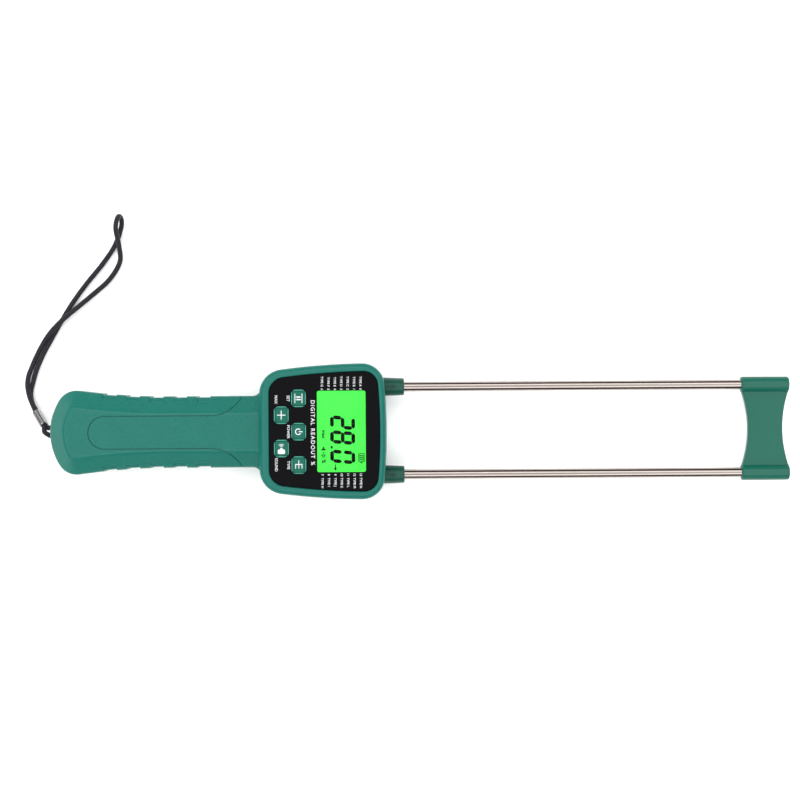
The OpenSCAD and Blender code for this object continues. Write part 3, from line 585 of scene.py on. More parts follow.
def angle_of(v):
    return math.degrees(math.atan2(v.y, v.x))


bow_c = Vector((HEAD_X1 - FRONT_BOW_R, 0))
front_x = bow_c.x + math.sqrt((FRONT_BOW_R - FRONT_R) ** 2 - FRONT_Y ** 2)
side_drop = HEAD_W / 2 - (FRONT_Y + FRONT_R)
rear_c = Vector((HEAD_X0 + REAR_R, -REAR_Y - side_drop))
front_c = Vector((front_x, -FRONT_Y - side_drop))
side_c = holding_centre(front_c, FRONT_R, rear_c, REAR_R, SIDE_BOW_R, -1)
side_a0, side_a1 = angle_of(rear_c - side_c), angle_of(front_c - side_c)
corner_a1 = angle_of(front_c - bow_c)


def head_half(inset):
    """Lower half of the head's outline, from its back edge to the middle of its front edge."""
    return ([(HEAD_X0 + inset, rear_c.y)]
            + arc(rear_c, REAR_R - inset, -180, side_a0, 24)
            + arc(side_c, SIDE_BOW_R - inset, side_a0, side_a1, 24)
            + arc(front_c, FRONT_R - inset, side_a1, corner_a1, 24)
            + arc(bow_c, FRONT_BOW_R - inset, corner_a1, 0, 16))


tail_end_c = Vector((TAIL_X + TAIL_END_R, 0))
tail_a = math.degrees(math.asin((TAIL_Y - TAIL_CORNER_R) / (TAIL_END_R - TAIL_CORNER_R)))
tail_c = tail_end_c + (TAIL_END_R - TAIL_CORNER_R) * Vector(
    (-math.cos(math.radians(tail_a)), math.sin(math.radians(tail_a))))
FLARE_A = 82
flare_end = tail_c + TAIL_CORNER_R * Vector(
    (math.cos(math.radians(FLARE_A)), math.sin(math.radians(FLARE_A))))
flare_h = flare_end.y - GRIP_Y
flare_l = 2 * flare_h * math.tan(math.radians(FLARE_A))
neck_c = Vector((HEAD_X0 - NECK_R, GRIP_Y + NECK_R))


def grip_places():
    """Places along the grip's side from the neck to the tail, with a close pair at each end of a notch."""
    places = [flare_end.x + (neck_c.x - flare_end.x) * i / 60 for i in range(61)]
    for n in range(NOTCHES):
        for end in (NOTCH_X + n * NOTCH_PITCH, NOTCH_X + n * NOTCH_PITCH + NOTCH_L):
            places = [x for x in places if abs(x - end) > 0.4] + [end - 0.12, end + 0.12]
    return sorted(places, reverse=True)


GRIP_PLACES = grip_places()


def in_notch(x):
    return any(0 < x - NOTCH_X - n * NOTCH_PITCH < NOTCH_L for n in range(NOTCHES))


NECK_STEPS, CORNER_STEPS, END_STEPS = 14, 22, 16
NOTCHED = ([False] * (2 + NECK_STEPS) + [in_notch(x) for x in GRIP_PLACES[1:]]
           + [False] * (CORNER_STEPS + END_STEPS))


def grip_side(x, inset):
    """Point of the grip's side, which flares towards the tail."""
    t = min(max((flare_end.x + flare_l - x) / flare_l, 0), 1)
    slope = Vector((2 * flare_h * t, flare_l)).normalized()
    return Vector((x, GRIP_Y + flare_h * t * t)) - inset * slope


def handle_half(inset, notch=0.0):
    """Upper half of the handle's outline, from inside the head to the tip of the tail."""
    inner = max(TAIL_CORNER_R - inset, 0.1)
    return ([(HEAD_X0 + 12, neck_c.y), (HEAD_X0 + inset, neck_c.y)]
            + arc(neck_c, NECK_R + inset, 0, -90, NECK_STEPS)
            + [tuple(grip_side(x, inset + (notch if in_notch(x) else 0))) for x in GRIP_PLACES[1:]]
            + arc(tail_c, inner, FLARE_A, 180 - tail_a, CORNER_STEPS)
            + arc(tail_end_c, TAIL_END_R - inset, 180 - tail_a, 180, END_STEPS))


def loft(name, halves):
    """Solid through halves of outlines, each a list of (x, y, z) that ends on the X axis."""
    middle = len(halves[0]) - 1
    count = 2 * middle + 1
    points = [p for half in halves for p in half + [(x, -y, z) for x, y, z in half[-2::-1]]]
    faces = band_faces(len(halves), count)
    for base in (0, (len(halves) - 1) * count):
        faces += [(base + i, base + 2 * middle - i, base + 2 * middle - i - 1, base + i + 1)
                  for i in range(middle - 1)]
        faces.append((base + middle - 1, base + middle + 1, base + middle))
    return new_object(name, points, faces)


def handle_loft(name, profile, notched=False):
    """Handle through a profile of (inset, height); notches run round the edge of the profile."""
    halves = []
    for i, (inset, height) in enumerate(profile):
        before, after = profile[max(i - 1, 0)], profile[min(i + 1, len(profile) - 1)]
        along = Vector((after[0] - before[0], after[1] - before[1])).normalized()
        depth = NOTCH_DEPTH if notched and inset < NOTCH_REACH + 0.01 else 0
        half = handle_half(inset, depth * abs(along.y))
        halves.append([(x, y, height - (depth * along.x if cut else 0))
                       for (x, y), cut in zip(half, NOTCHED)])
    return loft(name, halves)


def head_loft(name, profile):
    """Head through a profile of (inset, height)."""
    return loft(name, [[(x, y, z) for x, y in head_half(inset)] for inset, z in profile])


def with_notch_step(profile):
    """Adds a close pair of points to the profile where the notches end."""
    stepped = []
    for a, b in zip(profile, profile[1:]):
        stepped.append(a)
        inserts = [d for d in (NOTCH_REACH, NOTCH_REACH + NOTCH_SLOPE)
                   if min(a[0], b[0]) < d < max(a[0], b[0])]
        for d in sorted(inserts, reverse=a[0] > b[0]):
            stepped.append((d, a[1] + (b[1] - a[1]) * (d - a[0]) / (b[0] - a[0])))
    return stepped + [profile[-1]]


# ---------------- shells

rod_low, rod_high = box_mm("probe_rod_left")
ROD_Y = middle_mm("probe_rod_left")[1]
ROD_R = (rod_high.y - rod_low.y) / 2
SLEEVE_R, FLANGE_R, FLANGE_T, SLEEVE_FIT = 5.5, 6.5, 2.0, 0.1
SEAT_X = HEAD_X1 - WALL - 1.4
DECK_Z1 = HEAD_H - PANEL_DROP - 1
DECK_Z0 = DECK_Z1 - 2
FASCIA_Z = HEAD_H - PANEL_DROP
WINDOW_X, WINDOW_Y = 28.7, 48.0
WINDOW = (middle_mm("display_window")[0], 0)
KEYS = ["adjust_key", "power_key", "varieties_key", "limit_key", "voice_key"]
KEY_X, KEY_Y, KEY_R, KEY_GAP, KEY_FLANGE = 8.7, 10.3, 2.7, 0.3, 1.0
PANEL_SHIFT = 1.0
POST_R, PILOT_R = 3.2, 1.3    # screw posts of the front shell
SOCKET_R, HEAD_BORE_R, SHANK_R = 3.6, 2.9, 1.6      # and of the rear shell


def panel_half(inset, height):
    return [(x + PANEL_SHIFT, y, height) for x, y in head_half(RIM_W + inset)]


def sleeve_seats():
    """Holes in the head's front wall with a flat seat behind it, in both shells."""
    return [rod_x(x0, x1, side * ROD_Y, PART_Z, radius) for side in (-1, 1)
            for x0, x1, radius in ((SEAT_X - 1, HEAD_X1 + 1, SLEEVE_R + SLEEVE_FIT),
                                   (SEAT_X - FLANGE_T - 0.4, SEAT_X, FLANGE_R + SLEEVE_FIT))]


def groove_cutter(handle):
    """Thin wall along the loop of the grip's groove, whose foot follows the handle's surface."""
    half_w, width, depth, arm_r = 9.7, 0.6, 0.8, 19.8
    arm_c = Vector((HEAD_X0 - 29, half_w + arm_r))
    end_c = Vector((TAIL_X + 34.2, 0))
    tree = BVHTree.FromPolygons([v.co for v in handle.data.vertices],
                                [p.vertices for p in handle.data.polygons])

    def side(radius_change):
        return (arc(arm_c, arm_r + radius_change, -14, -90, 40)
                + [(arm_c.x + (end_c.x - arm_c.x) * k / 8, half_w - radius_change) for k in range(1, 8)]
                + arc(end_c, half_w - radius_change, 90, 180, 24))

    def whole(line):
        return line + [(x, -y) for x, y in line[-2::-1]]

    outer, middle, inner = whole(side(-width / 2)), whole(side(0)), whole(side(width / 2))
    rings = []
    for (ox, oy), (mx, my), (ix, iy) in zip(outer, middle, inner):
        hit = tree.ray_cast(Vector((mx, my, 60)), Vector((0, 0, -1)))[0]
        foot = hit.z - depth if hit else PART_Z + 3
        rings.append([(ox, oy, foot), (ix, iy, foot), (ix, iy, 40), (ox, oy, 40)])
    return stacked("groove", rings)


def make_front_shell():
    facet_z = GRIP_H - BEVEL_H
    top = rounded_line([(0, PART_Z + SEAM), (0, facet_z), (BEVEL_W, GRIP_H), (BEVEL_W + 1.65, GRIP_H)],
                       [EDGE_R, RIDGE_R])
    profile = [(SEAM, PART_Z + STEP)] + with_notch_step(top) + [(BEVEL_W + 1.8, GRIP_H)]
    shell = handle_loft("front_shell_skin", profile, notched=True)
    groove = groove_cutter(shell)
    rim = rounded_line([(0, PART_Z + SEAM), (0, HEAD_H), (RIM_W - 0.15, HEAD_H), (RIM_W - 0.15, DECK_Z1)],
                       [RIM_R, 0.6], 8)
    halves = [[(x, y, PART_Z) for x, y in head_half(SEAM)]]
    for inset, height in rim:
        shift = PANEL_SHIFT * min(max((inset - RIM_R) / (RIM_W - 0.8 - RIM_R), 0), 1)
        halves.append([(x + shift, y, height) for x, y in head_half(inset)])
    boolean(shell, "UNION", [loft("head", halves)])
    boolean(shell, "DIFFERENCE", [
        handle_loft("inside", [(WALL, PART_Z - 1), (WALL, facet_z - FACET_IN),
                               (BEVEL_W + FACET_IN, GRIP_H - WALL)]),
        head_loft("inside", [(WALL, PART_Z - 1), (WALL, DECK_Z0)])])
    boolean(shell, "UNION", [post(x, y, PART_Z + 0.01, top, POST_R) for x, y, top in case_screw_posts()])
    boolean(shell, "DIFFERENCE",
            [plate(WINDOW, (WINDOW_X + 4.3, WINDOW_Y + 3.3), 1.5, DECK_Z1 - 1.2, DECK_Z1 + 1),
             plate(WINDOW, (WINDOW_X + 1, WINDOW_Y + 1), 1, DECK_Z0 - 1, DECK_Z1)]
            + [key_hole(name, DECK_Z0 - 1, DECK_Z1 + 1) for name in KEYS]
            + sleeve_seats() + [groove]
            + [post(x, y, PART_Z - 1, PART_Z + 9, PILOT_R) for x, y, _ in case_screw_posts()])
    finished(shell, "front_shell_skin", "green_abs", replaces=["front_shell"])


def case_screw_posts():
    """Places of the six case screws, with the height of the top of their posts."""
    pairs = [(TAIL_X + 16, 9.5, GRIP_H - WALL + 0.5), (HEAD_X0 + 14, 28.5, DECK_Z0 + 0.5),
             (HEAD_X0 + 45, 31, DECK_Z0 + 0.5)]
    return [(x, s * y, top) for x, y, top in pairs for s in (-1, 1)]


def key_hole(name, low, high):
    return plate(middle_mm(name), (KEY_X + 2 * KEY_GAP, KEY_Y + 2 * KEY_GAP), KEY_R + KEY_GAP, low, high)


def make_rear_shell():
    back = rounded_line([(BACK_BEVEL + 3, STEP), (BACK_BEVEL, STEP), (0, BACK_BEVEL), (0, PART_Z - SEAM)],
                        [EDGE_R, EDGE_R])
    profile = [(BACK_BEVEL + 3.4, STEP)] + with_notch_step(back) + [(SEAM, PART_Z - STEP)]
    shell = handle_loft("rear_shell_skin", profile, notched=True)
    under = rounded_line([(BACK_R + 3, 0), (0, 0), (0, PART_Z - SEAM)], [BACK_R], 10) + [(SEAM, PART_Z)]
    boolean(shell, "UNION", [head_loft("head", under)])
    boolean(shell, "DIFFERENCE", [
        handle_loft("inside", [(BACK_BEVEL + FACET_IN, FLOOR + STEP), (WALL, BACK_BEVEL + FACET_IN),
                               (WALL, PART_Z + 1)]),
        head_loft("inside", [(BACK_R + FACET_IN, FLOOR), (WALL, BACK_R + FACET_IN),
                             (WALL, PART_Z + 1)])])
    boolean(shell, "UNION", rear_shell_ribs())
    boolean(shell, "DIFFERENCE", rear_shell_cuts())
    finished(shell, "rear_shell_skin", "green_abs", replaces=["rear_shell"])


contact_low, contact_high = box_mm("battery_contacts")
BAY_X0, BAY_X1 = contact_low.x, contact_high.x
BAY_Y = contact_high.y + 1
DOOR_Y = BAY_Y + 0.7
PIVOT_X, KNUCKLE_R = BAY_X1 - 1.9, 1.5
DOOR_T, RAIL = 1.6, 1.4
BAY_TOP = contact_high.z
SPEAKER_X = middle_mm("speaker")[0]


def rear_shell_ribs():
    """Posts, battery bay walls, hinge blocks and sleeve ribs on the back wall."""
    ribs = [post(x, y, FLOOR - 0.5, PART_Z - 0.01, SOCKET_R) for x, y, _ in case_screw_posts()]
    for s in (-1, 1):
        y0, y1 = sorted((s * BAY_Y, s * (BAY_Y + RAIL)))
        ribs.append(block((BAY_X0 - RAIL, y0, FLOOR - 0.6), (BAY_X1 + RAIL, y1, BAY_TOP - 3)))
        y0, y1 = sorted((s * (DOOR_Y - 0.2), s * (DOOR_Y + 2)))
        ribs.append(block((PIVOT_X - 3, y0, FLOOR - 0.8), (BAY_X1 + RAIL, y1, FLOOR + 2.2)))
        ribs.append(block((HEAD_X1 - WALL - 6.6, s * ROD_Y - 6, FLOOR - 0.5),
                          (HEAD_X1 - WALL - 5.2, s * ROD_Y + 6, PART_Z - 0.5)))
    for x0, x1 in ((BAY_X0 - RAIL, BAY_X0), (BAY_X1, BAY_X1 + RAIL)):
        ribs.append(block((x0, -BAY_Y - 0.5, FLOOR - 0.6), (x1, BAY_Y + 0.5, BAY_TOP)))
    return ribs


def rear_shell_cuts():
    """Door opening, hinge, screw holes, strap outlet, sleeve seats and sound slots."""
    outlet_r = 2.2
    cuts = [block((BAY_X0, -BAY_Y, -1), (BAY_X1, BAY_Y, FLOOR + 1.8)),
            block((BAY_X0 - 1.6, -DOOR_Y, -1), (BAY_X1, DOOR_Y, DOOR_T + 0.1)),
            block((PIVOT_X - KNUCKLE_R - 0.4, -DOOR_Y, -1.1), (BAY_X1, DOOR_Y, 2 * KNUCKLE_R + 0.4)),
            block((TAIL_X - 1, -STRAP_Y, STRAP_Z - outlet_r),
                  (TAIL_X + WALL + 3, STRAP_Y, STRAP_Z + outlet_r))]
    cuts += [rod_x(TAIL_X - 1.2, TAIL_X + WALL + 3.2, s * STRAP_Y, STRAP_Z, outlet_r) for s in (-1, 1)]
    for x, y, _ in case_screw_posts():
        cuts += [post(x, y, -1, 3.2, HEAD_BORE_R), post(x, y, 3, PART_Z + 1, SHANK_R)]
    cuts += sleeve_seats()
    cuts += [rod_x(HEAD_X1 - WALL - 7, HEAD_X1 - WALL - 5, s * ROD_Y, PART_Z, SLEEVE_R + SLEEVE_FIT)
             for s in (-1, 1)]
    for i in range(-3, 4):
        size = (2 * (10 - abs(i)), 1.2)
        cuts.append(plate((SPEAKER_X, i * 2.8), size, 0.55, -1, FLOOR + 1))
    return cuts


make_front_shell()
make_rear_shell()

# ---------------- front panel

ROW_PITCH, FIRST_ROW, CHOSEN_ROW = 3.78, 11.35, 4
SMALL_TEXT = 1.9


def upright(place, right, up):
    """Point given as seen with the display upright: right runs along -Y, and up along +X."""
    return place[0] + up, place[1] - right


def print_shape(place, outline, height, thick=0.04):
    """Thin printed shape, its outline given as (right, up) from place."""
    return prism("print", [upright(place, *p) for p in outline], height, height + thick)


def bar(right, up, width, height, slant=0.0):
    x, y = width / 2, height / 2
    return [(right + i * x + slant * j * y, up + j * y) for i, j in ((-1, -1), (1, -1), (1, 1), (-1, 1))]


def ring_arc(right, up, radius, width, start, end, steps=20):
    """Stroke along an arc."""
    outer = arc((right, up), radius + width / 2, start, end, steps)
    inner = arc((right, up), radius - width / 2, start, end, steps)
    return outer + inner[::-1]


def lettering(words, place, right, up, size, height, align="CENTER", spacing=1.0, bold=0.02):
    """Printed generic word, as a thin mesh."""
    curve = bpy.data.curves.new("word", "FONT")
    curve.body = words
    curve.size = size
    curve.align_x = align
    curve.align_y = "CENTER"
    curve.space_character = spacing
    curve.offset = bold
    curve.extrude = 0.02
    curve.resolution_u = 3
    text = placed("word", curve)
    bpy.context.view_layer.update()
    mesh = bpy.data.meshes.new_from_object(text.evaluated_get(bpy.context.evaluated_depsgraph_get()))
    bpy.data.objects.remove(text)
    x, y = upright(place, right, up)
    mesh.transform(Matrix.Translation((x, y, height + 0.02)) @ Matrix.Rotation(-math.pi / 2, 4, "Z"))
    return placed("word", mesh)


def make_fascia():
    edge = 0.12
    rows = [(0, DECK_Z1), (0, FASCIA_Z - edge), (edge, FASCIA_Z), (edge + 0.4, FASCIA_Z)]
    fascia = loft("fascia", [panel_half(inset, z) for inset, z in rows])
    boolean(fascia, "DIFFERENCE",
            [plate(WINDOW, (WINDOW_X, WINDOW_Y), 1.2, DECK_Z1 - 1, FASCIA_Z + 1)]
            + [key_hole(name, DECK_Z1 - 1, FASCIA_Z + 1) for name in KEYS])
    finished(fascia, "fascia_panel_sheet", "black_panel", replaces=["fascia_panel"])


def make_fascia_print():
    words = [lettering("DIGITAL READOUT %", WINDOW, 0.6, -16.9, 3.3, FASCIA_Z, spacing=1.25, bold=0.03)]
    for i in range(7):
        up = FIRST_ROW - i * ROW_PITCH
        for text, right, align in ((str(i), -24.9, "CENTER"), ("TYPE " + "ABCDEFG"[i], -26.4, "RIGHT"),
                                   (str(13 - i), 25.5, "CENTER"), ("TYPE " + "NMLKJIH"[i], 27.3, "LEFT")):
            words.append(lettering(text, WINDOW, right, up, SMALL_TEXT, FASCIA_Z, align))
    labels = {"adjust_key": ("SET", 0, -6.2), "power_key": ("POWER", 0, -6.2),
              "varieties_key": ("TYPE", 0, -6.2), "limit_key": ("MAX", -9.2, -3.2),
              "voice_key": ("SOUND", 9.6, -3.2)}
    for name, (word, right, up) in labels.items():
        words.append(lettering(word, middle_mm(name), right, up, 2.3, FASCIA_Z))
    finished(joined("fascia_print", words), "fascia_print", "white_ink", smooth=20)


def digit_shapes():
    """Lit segments of the reading's slanted digits, and its decimal point."""
    slant = math.tan(math.radians(5))
    width, height, centre_up = 7.2, 14.8, 0.65
    half_stroke, gap = 1.1, 0.45

    def across(up):
        """Flat hexagon for a level segment."""
        half, s = width / 2 - 0.5, half_stroke
        return [(-half, up), (-half + s, up - s), (half - s, up - s), (half, up),
                (half - s, up + s), (-half + s, up + s)]

    def upward(right, low, high):
        """Flat hexagon for a standing segment."""
        low, high, s = low + gap, high - gap, half_stroke
        return [(right, low), (right + s, low + s), (right + s, high - s), (right, high),
                (right - s, high - s), (right - s, low + s)]

    side, end = width / 2 - half_stroke + 0.3, height / 2 - half_stroke
    segments = {"a": across(end), "g": across(0), "d": across(-end),
                "b": upward(side, 0, end), "c": upward(side, -end, 0),
                "f": upward(-side, 0, end), "e": upward(-side, -end, 0)}
    two, eight, zero = "abged", "abcdefg", "abcdef"
    digits = [[(right + x + slant * y, centre_up + y) for x, y in segments[name]]
              for lit, right in ((two, -5.1), (eight, 3.7), (zero, 15.1)) for name in lit]
    return digits + [bar(9.4, -5.9, 1.5, 1.3)]


def sign_shapes():
    """The display's signs: an arrow at the chosen row, a battery, a loudspeaker and a lamp."""
    row = FIRST_ROW - CHOSEN_ROW * ROW_PITCH
    arrow = [(19.5, -0.3), (21.6, -0.3), (21.6, -1.0), (23.3, 0), (21.6, 1.0), (21.6, 0.3), (19.5, 0.3)]
    battery = [bar(15.6, 13.2, 5.0, 0.6), bar(15.6, 10.2, 5.0, 0.6), bar(13.1, 11.7, 0.5, 2.2),
               bar(18.1, 11.7, 0.5, 2.2), bar(18.75, 11.7, 0.6, 1.1)]
    battery += [bar(14.4 + i * 1.2, 11.7, 0.7, 1.9, 0.1) for i in range(3)]
    loudspeaker = [bar(9.4, -10.7, 0.7, 1.0), [(9.9, -11.2), (11.2, -12.3), (11.2, -9.1), (9.9, -10.2)],
                   ring_arc(11.5, -10.7, 0.9, 0.4, -50, 50)]
    lamp = [ring_arc(14.4, -10.7, 0.6, 0.45, 0, 359)]
    lamp += [bar(x, y, 0.45, 0.45) for x, y in arc((14.4, -10.7), 1.25, -45, 315, 8)]
    return [[(right, row + up) for right, up in arrow]] + battery + loudspeaker + lamp


def make_display():
    """Segments and signs of the display, which lie on the lit glass."""
    height = box_mm("lcd_glass")[1].z
    prints = [print_shape(WINDOW, shape, height) for shape in digit_shapes() + sign_shapes()]
    prints += [lettering("%", WINDOW, 17.7, -10.7, 3.4, height, bold=0.09),
               lettering("max", WINDOW, 1.6, -10.6, 3.0, height, bold=0.09)]
    finished(joined("display_segments", prints), "display_segments", "lcd_ink", smooth=20)


make_fascia()
make_fascia_print()
make_display()

# ---------------- keys


def key_icon(name):
    """Shapes of a key's sign, as (right, up) outlines about its middle."""
    if name == "adjust_key":
        shapes = [bar(0, s * 2.1, 5.6, 0.4) for s in (-1, 1)]
        shapes += [bar(s * 0.75, 0, 0.75, 2.3) for s in (-1, 1)]
        shapes += [bar(s * 0.75, 1.35 * t, 0.3, 0.7) for s in (-1, 1) for t in (-1, 1)]
    elif name == "power_key":
        shapes = [ring_arc(0, -0.2, 1.65, 0.55, 125, 415, 28), bar(0, 1.2, 0.55, 2.2)]
    elif name == "varieties_key":
        shapes = [bar(-1.7, 0, 2.2, 0.4), bar(-0.4, 0, 0.5, 4.2)]
        shapes += [bar(0.95, t * 1.9, 2.2, 0.4) for t in (-1, 0, 1)]
    elif name == "limit_key":
        shapes = [bar(0, 0, 5.2, 0.5), bar(0, 1.35, 0.5, 2.2), bar(0, -1.35, 0.5, 2.2)]
    else:
        shapes = [[(x + 1.9, y) for x, y in rounded_outline(2.6, 4.2, 0.7, 4)],
                  [(0.6, -0.9), (0.6, 0.9), (-0.4, 0.45), (-0.4, -0.45)]]
        shapes += [ring_arc(-0.2, 0, 1.0 + 0.65 * k, 0.28, 140, 220) for k in range(3)]
    return shapes


def make_key(name):
    """Key cap with a pale raised ring, a dark channel and a lit face, on its flange."""
    low, high = box_mm(name)
    top, flange_z1, place = high.z, low.z + 1.3, middle_mm(name)
    face_z = top - 0.08
    rows = [(-KEY_FLANGE, low.z), (-KEY_FLANGE, flange_z1), (0, flange_z1), (0, top - 0.35),
            (0.08, top - 0.14), (0.25, top), (0.42, top - 0.02), (0.55, top - 0.22),
            (1.1, top - 0.22), (1.25, top - 0.1), (1.5, face_z)]
    rings = []
    for inset, z in rows:
        radius = max(KEY_R - inset, 0.6)
        outline = rounded_outline(KEY_X - 2 * inset, KEY_Y - 2 * inset, radius)
        rings.append([(place[0] + x, place[1] + y, z) for x, y in outline])
    cap = stacked(name, rings)
    channel, ring, lit = 0, 1, 2
    for slot in ("key_green", "key_ring", "key_face"):
        cap.data.materials.append(MATERIALS[slot])
    for face in cap.data.polygons:
        x, y, z = face.center
        inset = min(KEY_X / 2 - abs(x - place[0]), KEY_Y / 2 - abs(y - place[1]))
        if z > top - 0.36:
            face.material_index = ring if inset < 0.5 else channel if inset < 1.1 else lit
    finished(cap, name + "_cap", "key_green", body=name, replaces=[name])
    signs = [print_shape(place, shape, face_z) for shape in key_icon(name)]
    finished(joined(name + "_sign", signs), name + "_sign", "white_ink", body=name, smooth=20)


for key_name in KEYS:
    make_key(key_name)

# ---------------- probe

SLEEVE_OUT = 10.6
bridge_low, bridge_high = box_mm("probe_bridge")
BRIDGE_R = (bridge_high.z - bridge_low.z) / 2
BRIDGE_EDGE, HOLLOW, HOLLOW_R = 1.0, 4.0, 70.0
WEB_HALF, CREASE = 2.5, 0.35


def make_rod(side, name):
    low, high = box_mm(name)
    bore, edge = ROD_R - 1, 0.15
    profile = [(low.x, bore), (low.x, ROD_R - edge), (low.x + edge, ROD_R), (high.x - edge, ROD_R),
               (high.x, ROD_R - edge), (high.x, bore)]
    rod = lathe_x(name, profile, side * ROD_Y, PART_Z)
    finished(rod, name + "_tube", "stainless", replaces=[name])


def make_sleeve(side, name):
    """Slightly tapered sleeve with a moulded oval on its top."""
    taper, low = 0.35, box_mm(name)[0]
    tip = HEAD_X1 + SLEEVE_OUT
    tip_r = SLEEVE_R - taper
    profile = [(low.x, ROD_R), (low.x, SLEEVE_R), (SEAT_X - FLANGE_T, SLEEVE_R),
               (SEAT_X - FLANGE_T, FLANGE_R), (SEAT_X, FLANGE_R), (SEAT_X, SLEEVE_R),
               (HEAD_X1 - 1, SLEEVE_R)]
    profile += arc((tip - 1, tip_r - 1), 1, 85, 0, 8) + [(tip, ROD_R + 0.5), (tip - 0.4, ROD_R)]
    sleeve = lathe_x(name, profile, side * ROD_Y, PART_Z)
    mark_x, mark_z = HEAD_X1 + 3.4, PART_Z + SLEEVE_R - 0.28
    outer = [(mark_x + x, side * ROD_Y + y) for x, y in rounded_outline(4.2, 2.6, 1.25)]
    inner = [(mark_x + x, side * ROD_Y + y) for x, y in rounded_outline(3.4, 1.8, 0.85)]
    mark = prism("mark", outer, mark_z - 0.8, mark_z + 0.7)
    boolean(mark, "DIFFERENCE", [prism("hollow", inner, mark_z - 1.2, mark_z + 1.2)])
    boolean(sleeve, "UNION", [mark])
    finished(sleeve, name + "_moulding", "dark_green", replaces=[name])


def bridge_section():
    """Upper half of the bridge's cross-section as (y, z), from one side to the other."""
    meet = math.degrees(math.asin(WEB_HALF / BRIDGE_R))
    tube = [(ROD_Y + BRIDGE_R, 0.0)] + arc((ROD_Y, 0), BRIDGE_R, 0, 180 - meet - 2, 26)
    foot = tube[-1][0]
    half = tube + [(foot - 0.25, WEB_HALF - CREASE), (foot - 0.7, WEB_HALF - CREASE * 0.4),
                   (foot - 1.3, WEB_HALF)]
    flat = [((foot - 1.3) * (1 - 2 * k / 24), WEB_HALF) for k in range(1, 24)]
    return half + flat + [(-y, z) for y, z in half[::-1]]


def inset_section(section, amount):
    """The cross-section drawn in square to its own line."""
    moved = []
    for i, (y, z) in enumerate(section):
        before, after = section[max(i - 1, 0)], section[min(i + 1, len(section) - 1)]
        along = Vector((after[0] - before[0], after[1] - before[1]))
        if i in (0, len(section) - 1):
            along = Vector((0, 1 if i == 0 else -1))
        along.normalize()
        moved.append((y - along.y * amount, max(z + along.x * amount, 0.0)))
    return moved


def end_hollow(y):
    """How far the bridge's ends are hollowed between its tubes."""
    if abs(y) > ROD_Y - BRIDGE_R + 0.4:
        return 0.0
    return max(0.0, HOLLOW - (HOLLOW_R - math.sqrt(HOLLOW_R ** 2 - y * y)))


def bridge_rows():
    """Upper half of the bridge from end to end, with its edges rounded."""
    section = bridge_section()
    turns = [math.radians(a) for a in (0, 22.5, 45, 67.5, 90)]
    edge = [(BRIDGE_EDGE * (1 - math.cos(a)), BRIDGE_EDGE * (1 - math.sin(a))) for a in turns]
    length = bridge_high.x - bridge_low.x - 2 * BRIDGE_EDGE
    rows = [[(bridge_low.x + end_hollow(y) + s, y, z) for y, z in inset_section(section, amount)]
            for s, amount in edge]
    for k in range(1, 6):
        rows.append([(bridge_low.x + end_hollow(y) + BRIDGE_EDGE + (length - 2 * end_hollow(y)) * k / 6, y, z)
                     for y, z in section])
    return rows + [[(bridge_high.x - end_hollow(y) - s, y, z) for y, z in inset_section(section, amount)]
                   for s, amount in edge[::-1]]


def make_bridge():
    """Two tubes and a web between them in one moulding, with hollow ends and rounded edges."""
    rings = [[(x, y, PART_Z + z) for x, y, z in row] + [(x, y, PART_Z - z) for x, y, z in row[-2:0:-1]]
             for row in bridge_rows()]
    count, top = len(rings[0]), len(rings[0]) // 2 + 1
    points = [p for ring in rings for p in ring]
    faces = band_faces(len(rings), count)
    for base in (0, (len(rings) - 1) * count):
        faces.append((base, base + 1, base + count - 1))
        faces += [(base + i, base + i + 1, base + count - i - 1, base + count - i) for i in range(1, top - 2)]
        faces.append((base + top - 2, base + top - 1, base + top))
    bridge = new_object("bridge", points, faces)
    rod_end = box_mm("probe_rod_left")[1].x
    boolean(bridge, "DIFFERENCE", [rod_x(bridge_low.x - 1, rod_end, s * ROD_Y, PART_Z, ROD_R)
                                   for s in (-1, 1)])
    finished(bridge, "probe_bridge_moulding", "bridge_green", replaces=["probe_bridge"])


make_rod(1, "probe_rod_left")
make_rod(-1, "probe_rod_right")
make_sleeve(1, "probe_sleeve_left")
make_sleeve(-1, "probe_sleeve_right")
make_bridge()

# ---------------- floor and lights


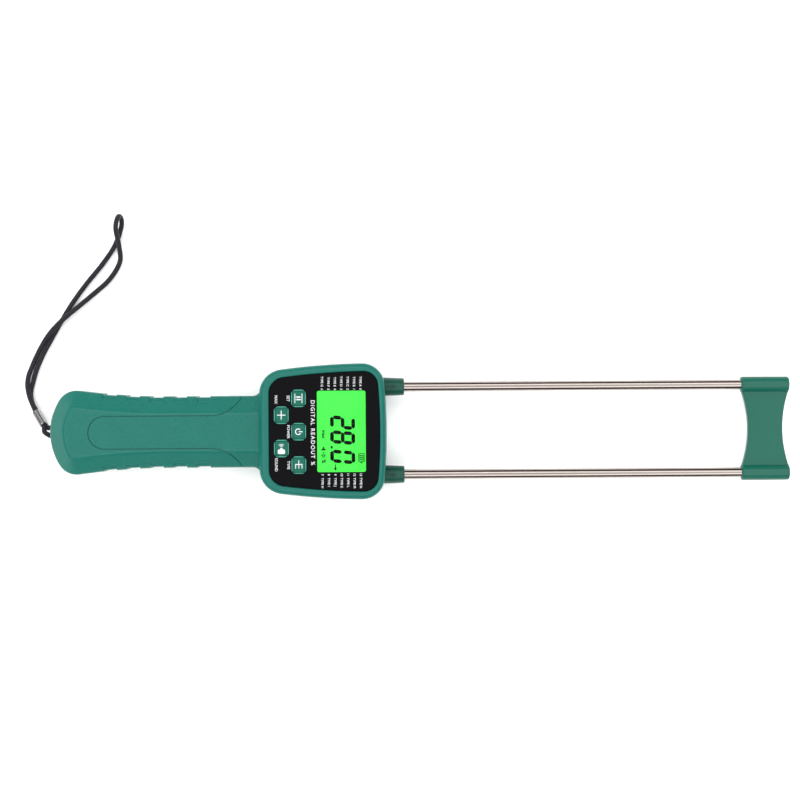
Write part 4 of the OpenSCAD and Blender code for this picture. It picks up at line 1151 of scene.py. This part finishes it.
def make_floor():
    floor = block((-30000, -30000, -2), (30000, 30000, -0.05))
    floor.name = "studio_floor"
    floor.data.transform(Matrix.Scale(MM, 4))
    shader = Shader("floor_paper", (0.93, 0.93, 0.93, 1), 0.9)
    darker, paler = (0.92, 0.92, 0.92, 1), (0.94, 0.94, 0.94, 1)
    shader.paint(shader.mixed(shader.ranged(shader.noise(40.0), 0, 1), darker, paler))
    floor.data.materials.append(MATERIALS["floor_paper"])


def area_light(name, place, size, power):
    """Soft lamp aimed at the origin, which leaves no reflection of itself in the metal."""
    data = bpy.data.lights.new(name, "AREA")
    data.shape = "RECTANGLE"
    data.size, data.size_y = size
    data.energy = power
    lamp = placed(name, data)
    lamp.location = place
    lamp.rotation_euler = (-Vector(place)).to_track_quat("-Z", "Y").to_euler()
    lamp.visible_glossy = False


def make_world():
    """Tented studio: a bright band overhead, with a darker middle round the camera and a dark horizon."""
    world = bpy.data.worlds.new("studio")
    world.use_nodes = True
    tree = world.node_tree
    background = tree.nodes["Background"]
    coordinates = tree.nodes.new("ShaderNodeTexCoord")
    split = tree.nodes.new("ShaderNodeSeparateXYZ")
    ramp = tree.nodes.new("ShaderNodeValToRGB")
    tree.links.new(coordinates.outputs["Generated"], split.inputs[0])
    tree.links.new(split.outputs["Z"], ramp.inputs["Fac"])
    tree.links.new(ramp.outputs["Color"], background.inputs["Color"])
    stops = ramp.color_ramp.elements
    stops[0].position, stops[0].color = 0.60, (0.025, 0.021, 0.02, 1)
    stops[1].position, stops[1].color = 0.74, (0.50, 0.49, 0.48, 1)
    for position, level in ((0.80, 0.95), (0.89, 0.95), (0.93, 0.42), (0.985, 0.42), (0.992, 0.22)):
        stop = stops.new(position)
        stop.color = (level, level, level, 1)
    background.inputs["Strength"].default_value = 3.6
    scene.world = world


make_floor()
make_world()
for angle in range(0, 360, 90):
    out = Vector((math.cos(math.radians(angle)), math.sin(math.radians(angle)), 0))
    area_light("low_side", 1.6 * out + Vector((0, 0, 0.5)), (1.6, 0.3), 15)
area_light("high_side", (-0.7, 0.9, 1.2), (0.7, 0.7), 6)
scene.view_settings.view_transform = "Standard"
